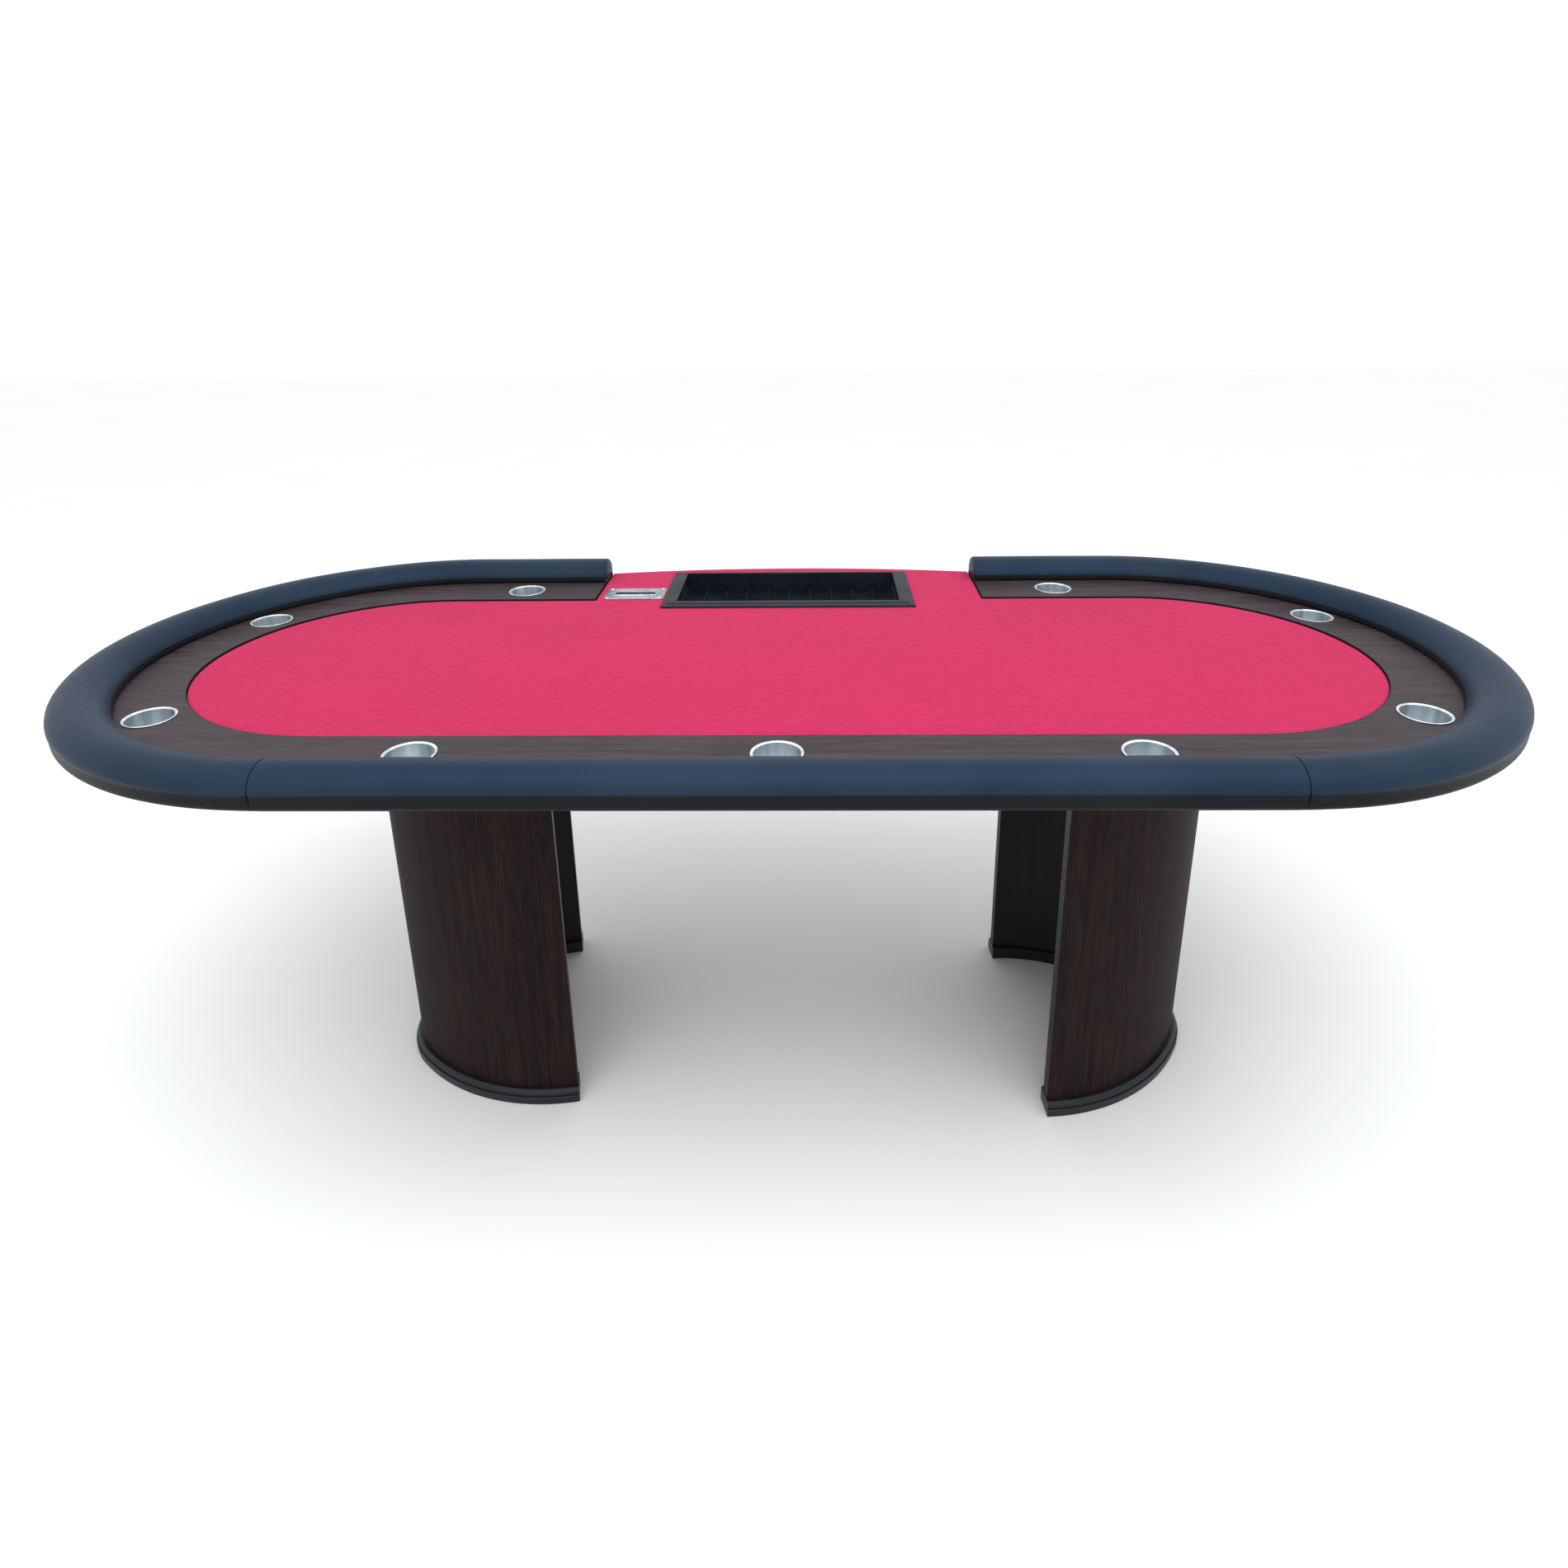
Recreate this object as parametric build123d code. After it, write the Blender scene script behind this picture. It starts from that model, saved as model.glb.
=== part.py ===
"""Ten-seat casino card table: a 96 x 42 inch stadium-shaped top with a padded armrest, a wooden
racetrack with nine cup holders, a felted playing field, a dealer's place with a chip tray and a
drop slot, and two half-moon panel legs.

All sizes are millimetres.  X runs along the table, +Y points at the dealer's side, +Z is up and
the floor is Z = 0.  Every piece is drawn about the long centre line of the stadium; save() then
moves it so that the origin lies under the middle of the whole table.
"""
from build123d import *
from math import cos, radians, sin
import os

# ---------------------------------------------------------------- driving dimensions
LENGTH = 2440.0                      # 96 inches over the armrest
WIDTH = 1066.8                       # 42 inches over the armrest
PLAY_HEIGHT = 762.0                  # top of the racetrack, 30 inches
END_RADIUS = WIDTH / 2               # outer radius of both round ends
END_X = (LENGTH - WIDTH) / 2         # centre of each round end

ARMREST_WIDTH = 86.0
ARMREST_CREST = 42.0                 # crest above the racetrack
ARMREST_DROP = 13.0                  # outer skirt below the racetrack
COVER = 1.2                          # vinyl thickness
CORE_IN = 12.0                       # plywood core, in from the outer face
SEAM_GAP = 0.3

BOARD_INSET = 30.0                   # base board and racetrack, in from the outer face
BOARD = 18.0
RACETRACK = 9.0
TRIM = 1.2
FELT_X = 706.2                       # centre of the felt's round ends
FELT_RADIUS = 330.4
FOAM = 5.0
FELT = 1.2

DEALER_HALF = 412.0                  # half the opening in the armrest
DEALER_BOW = 35.0                    # how far the dealer's edge bows out past the armrest
DEALER_LIP = 20.0                    # felt turned down over the dealer's edge

CUP_FLANGE = 38.9
CUP_FLANGE_THICK = 1.6
CUP_RADIUS = 35.2
CUP_WALL = 0.8
CUP_DEPTH = 62.0
CUP_HOLE = 36.4
CUP_OUT = 59.2                       # cup centre outside the felt on the straights
CUP_OUT_END = 57.0                   # the same round the ends
CUP_FRONT_X = 530.0
CUP_DEALER_X = 573.2
CUP_BACK_ANGLE = 30.8                # degrees from the X axis, round the felt's end
CUP_SIDE_ANGLE = -42.7

TRAY_X = 265.0                       # half width of the flange
TRAY_FRONT = 273.0
TRAY_BACK = 522.0
TRAY_FLANGE = 4.5
TRAY_MOUTH_X = 234.0
TRAY_MOUTH_FRONT = 304.0
TRAY_MOUTH_BACK = 507.0
TRAY_TUBES = 10
TUBE_PITCH = 46.4
TUBE_RADIUS = 22.9
RIDGE_DROP = 24.0                    # ridges below the flange's top
TRAY_WALL = 3.0
TRAY_DEPTH = 50.0
TRAY_RIM = (20.0, 14.0, 6.0)         # raised rim round the mouth: at the sides, front and back
TRAY_RIM_HIGH = 1.3

SLOT_X = -332.0
SLOT_Y = 370.0
SLOT_PLATE = (128.0, 76.0, 1.6)
SLOT = (86.0, 12.0)
SLOT_FRAME = (96.0, 26.0, 1.2)       # raised frame round the slot
SLOT_SCREW_R = 2.0
CHUTE = (92.0, 20.0)
CHUTE_WALL = 1.2
SLOT_SCREWS = (112.0, 62.0)          # spacing of the four plate screws

BOX_W = 130.0                        # drop box
BOX_D = 130.0
BOX_H = 180.0
BOX_TOP = 716.0
SHEET = 1.5
BOX_LIP = 10.0
RAIL_GAP = 0.5
HINGE_R = 4.0
HINGE_PIN_R = 2.0
HINGE_CLEAR = 0.05

RAIL = (25.0, 60.0)                  # underframe timber
RAIL_FRONT_Y = -300.0
RAIL_REAR_Y = 240.0
RAIL_HALF = 600.0
CROSSBARS = {"left": -300.0, "middle": 40.0, "right": 380.0}

LEG_NOSE = 130.0                     # radius round the outside of the half moon
LEG_FLANK = 334.0                    # radius of its two flanks
LEG_TURN = 33.7                      # degrees of nose each side of its axis
LEG_THICK = 22.0
VENEER = 1.0
PLINTH_OUT = 13.7
PLINTH_IN = 8.0
PLINTH_WRAP = 2.0                    # plinth past the panel's end faces
PLINTH_HEIGHT = 27.0
PLINTH_STEP = 3.0
PLINTH_CHAMFER = 5.0
PLATE = 18.0
GLIDE_R = 12.0
GLIDE_H = 4.0
FOOT_GAP = 1.5                       # glides stand this far out of the panel
BRACKET = 30.0
# centre of the nose, and how far each leg is turned on the floor, counter-clockwise from above
LEGS = {"left": (-587.8, -63.7, 191.7), "right": (619.2, -45.4, 3.0)}

BOLT_R = 4.0
SCREW_R = 2.25
SCREW_BITE = 12.0                    # how far screws go into the base board
CORE_RING = 16.0                     # thickness of the armrest's plywood ring
NUT_FLANGE = 1.5
NUT_FLANGE_R = 10.0
NUT_R = 5.0
GAP = 0.05                           # clearance between parts that touch
TINY = 0.001                         # keeps the two outlines of a wall apart at its ends

# ---------------------------------------------------------------- levels
BOARD_TOP = PLAY_HEIGHT - RACETRACK
BOARD_BOTTOM = BOARD_TOP - BOARD
FELT_TOP = BOARD_TOP + FOAM + FELT
TRAY_TOP = FELT_TOP + 0.1 + TRAY_FLANGE
LEG_HEIGHT = BOARD_BOTTOM
CENTRE_Y = -DEALER_BOW / 2


def save(node, shape):
    """Write one node, moved so that the origin is under the middle of the table."""
    export_step(Pos(0, CENTRE_Y, 0) * shape, f"parts/{node}.step")


def block(x0, x1, y0, y1, z0, z1):
    """A box between two corners."""
    size = (x1 - x0, y1 - y0, z1 - z0)
    return Pos((x0 + x1) / 2, (y0 + y1) / 2, (z0 + z1) / 2) * Box(*size)


def rod(x, y, z0, z1, radius):
    """An upright cylinder."""
    return Pos(x, y, (z0 + z1) / 2) * Cylinder(radius, z1 - z0)


def slab(face, z0, z1):
    """A flat face stood up between two levels."""
    return Pos(0, 0, z0) * extrude(face, amount=z1 - z0)


def stadium(end_x, radius):
    """A rectangle with round ends."""
    return SlotCenterToCenter(2 * end_x, 2 * radius)


def group(shapes):
    """Separate solids kept in one node."""
    return Compound([solid for shape in shapes for solid in shape.solids()])


# ---------------------------------------------------------------- places on the top
def cup_places():
    """Nine cup centres: three in front, two at each end and one each side of the dealer."""
    places = []
    for x in (-CUP_FRONT_X, 0.0, CUP_FRONT_X):
        places.append((x, -FELT_RADIUS - CUP_OUT))
    reach = FELT_RADIUS + CUP_OUT_END
    for angle in (CUP_SIDE_ANGLE, CUP_BACK_ANGLE):
        x = FELT_X + reach * cos(radians(angle))
        y = reach * sin(radians(angle))
        places += [(x, y), (-x, y)]
    for x in (-CUP_DEALER_X, CUP_DEALER_X):
        places.append((x, FELT_RADIUS + CUP_OUT))
    return places


def bolt_places():
    """Armrest bolts: a ring 50 mm in from the outer face."""
    reach = END_RADIUS - 50.0
    places = [(x, -reach) for x in (-560.0, -190.0, 190.0, 560.0)]
    for side in (-1, 1):
        for angle in (-64.0, -22.0, 22.0, 64.0):
            x = END_X + reach * cos(radians(angle))
            places.append((side * x, reach * sin(radians(angle))))
        places.append((side * 470.0, reach))
    return places


def tray_cutout(clear):
    """Plan of the hole that the chip tray's body hangs in."""
    x = TRAY_MOUTH_X + TRAY_WALL + clear
    y0 = TRAY_MOUTH_FRONT - TRAY_WALL - clear
    y1 = TRAY_MOUTH_BACK + TRAY_WALL + clear
    return Pos(0, (y0 + y1) / 2) * Rectangle(2 * x, y1 - y0)


def chute_cutout(clear):
    """Plan of the hole for the drop chute."""
    return Pos(SLOT_X, SLOT_Y) * Rectangle(CHUTE[0] + 2 * clear, CHUTE[1] + 2 * clear)


def dealer_strip(half, back):
    """Plan of the dealer's place, with its bowed outer edge."""
    wide = DEALER_HALF
    bow = ThreePointArc((-wide, back), (0, back + DEALER_BOW), (wide, back))
    sides = Polyline((wide, back), (wide, 0), (-wide, 0), (-wide, back))
    return make_face(bow.edges() + sides.edges()) & Rectangle(2 * half, 4 * END_RADIUS)


# ---------------------------------------------------------------- table top
def base_board():
    back = END_RADIUS - FELT
    plan = stadium(END_X, END_RADIUS - BOARD_INSET) + dealer_strip(DEALER_HALF - TRIM, back)
    plan -= tray_cutout(3.0)
    plan -= chute_cutout(0.5)
    for x, y in cup_places():
        plan -= Pos(x, y) * Circle(CUP_HOLE)
    for x, y in bolt_places():
        plan -= Pos(x, y) * Circle(BOLT_R + 0.2)
    board = slab(plan, BOARD_TOP - BOARD, BOARD_TOP)
    for x, y in rail_screws() + plate_screws("left") + plate_screws("right"):
        board -= rod(x, y, BOARD_BOTTOM, BOARD_BOTTOM + SCREW_BITE, SCREW_R + GAP)
    return board


def field_plan(back, shrink):
    """Plan of the playing field: the felt oval and the dealer's place."""
    oval = stadium(FELT_X, FELT_RADIUS - shrink)
    plan = oval + dealer_strip(DEALER_HALF - shrink, back)
    return plan - tray_cutout(1.0) - chute_cutout(0.3)


def playfield_foam():
    return slab(field_plan(END_RADIUS - FELT, 0.4), BOARD_TOP, BOARD_TOP + FOAM)


def playfield_felt():
    """The cloth: a flat sheet, turned down over the dealer's edge."""
    sheet = slab(field_plan(END_RADIUS, 0.4), BOARD_TOP + FOAM, FELT_TOP)
    half = DEALER_HALF - TRIM - 0.4
    lip = dealer_strip(half, END_RADIUS) - dealer_strip(DEALER_HALF, END_RADIUS - FELT)
    return sheet + slab(lip, FELT_TOP - DEALER_LIP, FELT_TOP)


def racetrack_plan(grow):
    """Plan of the racetrack, with its inner edge moved out by grow."""
    plan = stadium(END_X, END_RADIUS - BOARD_INSET) - stadium(FELT_X, FELT_RADIUS + grow)
    return plan - Pos(0, 400) * Rectangle(2 * (DEALER_HALF + grow), 800)


def racetrack_panel():
    plan = racetrack_plan(TRIM)
    for x, y in cup_places():
        plan -= Pos(x, y) * Circle(CUP_HOLE)
    for x, y in bolt_places():
        plan -= Pos(x, y) * Circle(BOLT_R + 0.2)
    return slab(plan, BOARD_TOP, PLAY_HEIGHT)


def racetrack_trim():
    """Edge band on the racetrack's inner edge and its two ends."""
    return slab(racetrack_plan(0.0) - racetrack_plan(TRIM), BOARD_TOP, PLAY_HEIGHT)


# ---------------------------------------------------------------- armrest
def armrest_outline(inset):
    """Cross-section: x is the radius from the end's centre, y is the height."""
    crest_in = 40.0
    shoulder = PLAY_HEIGHT + 13.0
    inner = PLAY_HEIGHT + 4.0
    bottom = PLAY_HEIGHT - ARMREST_DROP
    crest = PLAY_HEIGHT + ARMREST_CREST
    x_crest = END_RADIUS - crest_in
    x_inner = END_RADIUS - ARMREST_WIDTH
    outer_arc = EllipticalCenterArc((x_crest, shoulder), crest_in - inset,
                                    crest - shoulder - inset, start_angle=0, arc_size=90)
    inner_arc = EllipticalCenterArc((x_crest, inner), ARMREST_WIDTH - crest_in - inset,
                                    crest - inner - inset, start_angle=90, arc_size=90)
    under = Polyline((x_inner + inset, inner), (x_inner + inset, PLAY_HEIGHT),
                     (END_RADIUS - 2 * CORE_IN, PLAY_HEIGHT),
                     (END_RADIUS - 2 * CORE_IN, bottom + inset),
                     (END_RADIUS - 8.0 - 0.4 * inset, bottom + inset),
                     (END_RADIUS - inset, bottom + 8.0 + 0.4 * inset),
                     (END_RADIUS - inset, shoulder))
    return make_face(outer_arc.edges() + inner_arc.edges() + under.edges())


def core_outline():
    """Plywood core: a flat ring with a fascia strip under its outer edge."""
    x1 = END_RADIUS - CORE_IN
    x0 = END_RADIUS - ARMREST_WIDTH + 10.0
    ring = Pos((x0 + x1) / 2, PLAY_HEIGHT + CORE_RING / 2) * Rectangle(x1 - x0, CORE_RING)
    low = PLAY_HEIGHT - ARMREST_DROP + COVER
    fascia = Pos(x1 - CORE_IN / 2, (low + PLAY_HEIGHT) / 2) * Rectangle(CORE_IN, PLAY_HEIGHT - low)
    return ring + fascia


def run_front(profile):
    """Carry a cross-section along the straight front."""
    length = 2 * (END_X - SEAM_GAP)
    bar = extrude(Plane.XZ * profile, amount=length, dir=(0, 1, 0))
    return Pos(-length / 2, 0, 0) * Rot(0, 0, -90) * bar


def run_side(profile, side, end):
    """Carry a cross-section round one end and along the back to x = end."""
    half_ring = revolve(Plane.XZ * profile, axis=Axis.Z, revolution_arc=180)
    turned = Pos(side * END_X, 0, 0) * Rot(0, 0, -90 * side) * half_ring
    bar = extrude(Plane.XZ * profile, amount=END_X - end, dir=(0, 1, 0))
    start = END_X if side > 0 else -end
    return turned + Pos(start, 0, 0) * Rot(0, 0, 90) * bar


def armrest_sections():
    """Cover, foam and core of the front, left and right sections."""
    outside = armrest_outline(0.0)
    inside = armrest_outline(COVER)
    core = core_outline()
    bolts = bolt_places()
    for name in ("front", "left", "right"):
        side = {"front": 0, "left": -1, "right": 1}[name]
        pieces = {"cover": outside - inside, "foam": inside - core, "core": core}
        for piece, profile in pieces.items():
            if side == 0:
                shape = run_front(profile)
            else:
                shape = run_side(profile, side, DEALER_HALF + COVER)
            if piece == "cover" and side:
                cap = extrude(Plane.XZ * outside, amount=COVER, dir=(0, 1, 0))
                start = DEALER_HALF + COVER if side > 0 else -DEALER_HALF
                shape += Pos(start, 0, 0) * Rot(0, 0, 90) * cap
            if piece == "core":
                top = PLAY_HEIGHT + CORE_RING
                for x, y in bolts:
                    shape -= rod(x, y, PLAY_HEIGHT, top, NUT_R + 0.1)
                    shape -= rod(x, y, top - NUT_FLANGE - 0.1, top, NUT_FLANGE_R + 0.1)
            save(f"armrest_{piece}_{name}", shape)


def armrest_bolts():
    bolts = []
    for x, y in bolt_places():
        washer = rod(x, y, BOARD_BOTTOM - 1.5, BOARD_BOTTOM, 11.0)
        head = Pos(x, y, BOARD_BOTTOM - 6.8) * extrude(RegularPolygon(7.5, 6), amount=5.3)
        shank = rod(x, y, BOARD_BOTTOM, PLAY_HEIGHT + CORE_RING - 1.0, BOLT_R)
        bolts.append(washer + head + shank)
    return group(bolts)


def armrest_tee_nuts():
    nuts = []
    top = PLAY_HEIGHT + CORE_RING
    for x, y in bolt_places():
        flange = rod(x, y, top - NUT_FLANGE, top, NUT_FLANGE_R)
        barrel = rod(x, y, PLAY_HEIGHT + 2.0, top - NUT_FLANGE, NUT_R)
        nuts.append(flange + barrel - rod(x, y, PLAY_HEIGHT, top + 1, BOLT_R + GAP))
    return group(nuts)


# ---------------------------------------------------------------- dealer's place
def cup_holder(x, y):
    """A spun steel cup that drops into its hole and hangs on a rolled flange."""
    top = PLAY_HEIGHT + CUP_FLANGE_THICK
    floor = PLAY_HEIGHT - CUP_DEPTH
    cup = rod(x, y, PLAY_HEIGHT + 0.05, top, CUP_FLANGE) + rod(x, y, floor, top, CUP_RADIUS)
    cup -= rod(x, y, floor + CUP_WALL, top + 1, CUP_RADIUS - CUP_WALL)
    rim = cup.edges().filter_by(GeomType.CIRCLE).group_by(Axis.Z)[-1]
    return fillet(rim, 0.38)


def chip_tray():
    """Moulded tray: a bevelled flange and ten round-bottomed tubes."""
    flange = block(-TRAY_X, TRAY_X, TRAY_FRONT, TRAY_BACK, TRAY_TOP - TRAY_FLANGE, TRAY_TOP)
    flange = chamfer(flange.faces().sort_by(Axis.Z)[-1].edges(), 2.4)
    x = TRAY_MOUTH_X + TRAY_WALL
    y0 = TRAY_MOUTH_FRONT - TRAY_WALL
    y1 = TRAY_MOUTH_BACK + TRAY_WALL
    rim = block(-TRAY_MOUTH_X - TRAY_RIM[0], TRAY_MOUTH_X + TRAY_RIM[0],
                TRAY_MOUTH_FRONT - TRAY_RIM[1], TRAY_MOUTH_BACK + TRAY_RIM[2],
                TRAY_TOP, TRAY_TOP + TRAY_RIM_HIGH)
    rim = chamfer(rim.faces().sort_by(Axis.Z)[-1].edges(), TRAY_RIM_HIGH - 0.1)
    tray = flange + rim
    tray += block(-x, x, y0, y1, TRAY_TOP - TRAY_DEPTH, TRAY_TOP - TRAY_FLANGE)
    ridge = TRAY_TOP - RIDGE_DROP
    tray -= block(-TRAY_MOUTH_X, TRAY_MOUTH_X, TRAY_MOUTH_FRONT, TRAY_MOUTH_BACK,
                  ridge, TRAY_TOP + TRAY_RIM_HIGH + 1)
    middle = (TRAY_MOUTH_FRONT + TRAY_MOUTH_BACK) / 2
    depth = TRAY_MOUTH_BACK - TRAY_MOUTH_FRONT
    for number in range(TRAY_TUBES):
        x = (number - (TRAY_TUBES - 1) / 2) * TUBE_PITCH
        tray -= Pos(x, middle, ridge) * Rot(90, 0, 0) * Cylinder(TUBE_RADIUS, depth)
    return tray


def drop_slot_plate():
    """Steel plate with a raised, bevelled frame round its slot."""
    low = FELT_TOP + GAP
    plate = RectangleRounded(SLOT_PLATE[0], SLOT_PLATE[1], 7.0)
    for x, y in slot_screws():
        plate -= Pos(x - SLOT_X, y - SLOT_Y) * Circle(SLOT_SCREW_R + 0.1)
    plate = slab(plate, low, low + SLOT_PLATE[2])
    high = low + SLOT_PLATE[2] + SLOT_FRAME[2]
    frame = slab(RectangleRounded(SLOT_FRAME[0], SLOT_FRAME[1], 5.0), low, high)
    plate += chamfer(frame.faces().sort_by(Axis.Z)[-1].edges(), SLOT_FRAME[2] - 0.1)
    plate -= slab(RectangleRounded(*SLOT, 3.0), low - 1, high + 1)
    return Pos(SLOT_X, SLOT_Y, 0) * plate


def slot_screws():
    places = []
    for sx in (-0.5, 0.5):
        for sy in (-0.5, 0.5):
            places.append((SLOT_X + sx * SLOT_SCREWS[0], SLOT_Y + sy * SLOT_SCREWS[1]))
    return places


def drop_slot_screws():
    """Pan-head screws; their shanks end in the plate's own holes."""
    top = FELT_TOP + GAP + SLOT_PLATE[2]
    screws = []
    for x, y in slot_screws():
        head = Pos(x, y, top + 0.9) * Cylinder(3.9, 1.8)
        head = fillet(head.edges().sort_by(Axis.Z)[-1], 1.2)
        head -= Pos(x, y, top + 1.5) * Box(5.0, 0.9, 1.0)
        head -= Pos(x, y, top + 1.5) * Box(0.9, 5.0, 1.0)
        screws.append(head + rod(x, y, FELT_TOP + 2 * GAP, top, SLOT_SCREW_R))
    return group(screws)


def drop_chute():
    """Sheet-metal chute from the slot plate down to the drop box."""
    plan = Rectangle(*CHUTE) - Rectangle(CHUTE[0] - 2 * CHUTE_WALL, CHUTE[1] - 2 * CHUTE_WALL)
    return slab(Pos(SLOT_X, SLOT_Y) * plan, BOX_TOP + SHEET + 0.8, FELT_TOP)


def box_limits():
    x0 = SLOT_X - BOX_W / 2
    y0 = SLOT_Y - 60.0
    return x0, x0 + BOX_W, y0, y0 + BOX_D


def drop_box_rail(side):
    """Angle under the base board that carries one lip of the drop box."""
    x0, x1, y0, y1 = box_limits()
    edge = x0 - BOX_LIP if side < 0 else x1 + BOX_LIP
    web_in = edge + side * RAIL_GAP
    web = sorted((web_in, web_in + side * SHEET))
    foot = sorted((web_in, web_in - side * (BOX_LIP - 1.0)))
    low = BOX_TOP - RAIL_GAP - SHEET
    rail = block(web[0], web[1], y0, y1, low, BOARD_BOTTOM)
    rail += block(foot[0], foot[1], y0, y1, low, low + SHEET)
    top = sorted((web_in, web_in + side * 14.0))
    rail += block(top[0], top[1], y0, y1, BOARD_BOTTOM - SHEET, BOARD_BOTTOM)
    for x, y in rail_fixings(side):
        rail -= rod(x, y, BOARD_BOTTOM - 3.0, BOARD_BOTTOM, 2.0)
    return rail


def rail_fixings(side):
    x0, x1, y0, y1 = box_limits()
    edge = x0 - BOX_LIP if side < 0 else x1 + BOX_LIP
    x = edge + side * 8.5
    return [(x, y0 + 25.0), (x, y1 - 25.0)]


def drop_box_rail_screws():
    screws = []
    for side in (-1, 1):
        for x, y in rail_fixings(side):
            head = rod(x, y, BOARD_BOTTOM - SHEET - 1.8, BOARD_BOTTOM - SHEET, 3.4)
            screws.append(head + rod(x, y, BOARD_BOTTOM - SHEET, BOARD_BOTTOM, 1.9))
    return group(screws)


def hinge_centre():
    """The door's hinge line, low on the dealer's side of the box."""
    return box_limits()[3] + HINGE_R, BOX_TOP - BOX_H + HINGE_R


def knuckle(x0, x1):
    y, z = hinge_centre()
    shell = Pos((x0 + x1) / 2, y, z) * Rot(0, 90, 0) * Cylinder(HINGE_R, x1 - x0)
    return shell - Pos((x0 + x1) / 2, y, z) * Rot(0, 90, 0) * Cylinder(
        HINGE_PIN_R + HINGE_CLEAR, x1 - x0 + 2)


def drop_box_body():
    """Folded sheet box with sliding lips, open to the dealer's side."""
    x0, x1, y0, y1 = box_limits()
    z0 = BOX_TOP - BOX_H
    box = block(x0, x1, y0, y1, z0, BOX_TOP + SHEET)
    box -= block(x0 + SHEET, x1 - SHEET, y0 + SHEET, y1 + 1, z0 + SHEET, BOX_TOP)
    box += block(x0, x1, y1 - SHEET, y1, BOX_TOP - 14.0, BOX_TOP)
    box += block(x0 - BOX_LIP, x1 + BOX_LIP, y0, y1, BOX_TOP, BOX_TOP + SHEET)
    box -= slab(chute_cutout(4.0), BOX_TOP - 1, BOX_TOP + SHEET + 1)
    y, z = hinge_centre()
    for left, right in ((x0 + 6, x0 + 36), (x1 - 36, x1 - 6)):
        leaf = block(left, right, y1 - SHEET, y, z0, z0 + SHEET)
        box += leaf + knuckle(left, right)
        box -= Pos((left + right) / 2, y, z) * Rot(0, 90, 0) * Cylinder(
            HINGE_PIN_R + HINGE_CLEAR, right - left + 2)
    return box


def door_limits():
    x0, x1 = box_limits()[:2]
    return x0 + 1.0, x1 - 1.0, BOX_TOP - BOX_H + 2 * HINGE_R + 1.0, BOX_TOP - 1.0


def lock_place():
    x0, x1, _, top = door_limits()
    return (x0 + x1) / 2, top - 34.0


def drop_box_door():
    """Door with its knuckle between the box's two."""
    x0, x1, z0, z1 = door_limits()
    wall = box_limits()[3]
    y, z = hinge_centre()
    door = block(x0, x1, wall + 0.6, wall + 0.6 + SHEET, z0, z1)
    left = x0 + 38.0
    right = x1 - 38.0
    door += block(left, right, wall + 0.6, wall + 0.6 + SHEET, z, z0)
    door += knuckle(left, right)
    door -= Pos((left + right) / 2, y, z) * Rot(0, 90, 0) * Cylinder(
        HINGE_PIN_R + HINGE_CLEAR, right - left + 2)
    lock_x, lock_z = lock_place()
    door -= Pos(lock_x, wall, lock_z) * Rot(90, 0, 0) * Cylinder(8.05, 20)
    return door


def drop_box_hinge_pin():
    x0, x1 = box_limits()[:2]
    y, z = hinge_centre()
    pin = Pos((x0 + x1) / 2, y, z) * Rot(0, 90, 0) * Cylinder(HINGE_PIN_R, BOX_W - 9.0)
    heads = [Pos(x, y, z) * Rot(0, 90, 0) * Cylinder(3.2, 1.6) for x in (x0 + 5.1, x1 - 5.1)]
    return pin + heads[0] + heads[1]


def drop_box_lock():
    """Cam lock, drawn unlocked: the cam lies level, clear of the box's lip."""
    wall = box_limits()[3]
    x, z = lock_place()
    barrel = Pos(x, wall - 2.0, z) * Rot(90, 0, 0) * Cylinder(8.0, 20.0)
    face = Pos(x, wall + 9.0, z) * Rot(90, 0, 0) * Cylinder(10.5, 3.0)
    keyway = Pos(x, wall + 10.0, z) * Box(1.6, 4.0, 9.0)
    cam = block(x - 5.0, x + 30.0, wall - 11.0, wall - 8.5, z - 5.0, z + 5.0)
    return barrel + face + cam - keyway


# ---------------------------------------------------------------- underframe
def underframe_rail(y):
    rail = block(-RAIL_HALF, RAIL_HALF, y - RAIL[0] / 2, y + RAIL[0] / 2,
                 BOARD_BOTTOM - RAIL[1], BOARD_BOTTOM)
    for x, place_y in rail_screws():
        rail -= rod(x, place_y, BOARD_BOTTOM - RAIL[1], BOARD_BOTTOM, SCREW_R + GAP)
        rail -= rod(x, place_y, BOARD_BOTTOM - RAIL[1], BOARD_BOTTOM - RAIL[1] + 4.0, 4.6)
    return rail


def crossbar(x):
    y0 = RAIL_FRONT_Y + RAIL[0] / 2
    y1 = RAIL_REAR_Y - RAIL[0] / 2
    return block(x - RAIL[0] / 2, x + RAIL[0] / 2, y0, y1, BOARD_BOTTOM - RAIL[1], BOARD_BOTTOM)


def rail_screws():
    return [(x, y) for y in (RAIL_FRONT_Y, RAIL_REAR_Y) for x in (-540.0, -180.0, 180.0, 540.0)]


def underframe_screws():
    screws = []
    for x, y in rail_screws():
        low = BOARD_BOTTOM - RAIL[1]
        head = rod(x, y, low + 0.5, low + 4.0, 4.5)
        screws.append(head + rod(x, y, low + 4.0, BOARD_BOTTOM + SCREW_BITE, SCREW_R))
    return group(screws)


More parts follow.
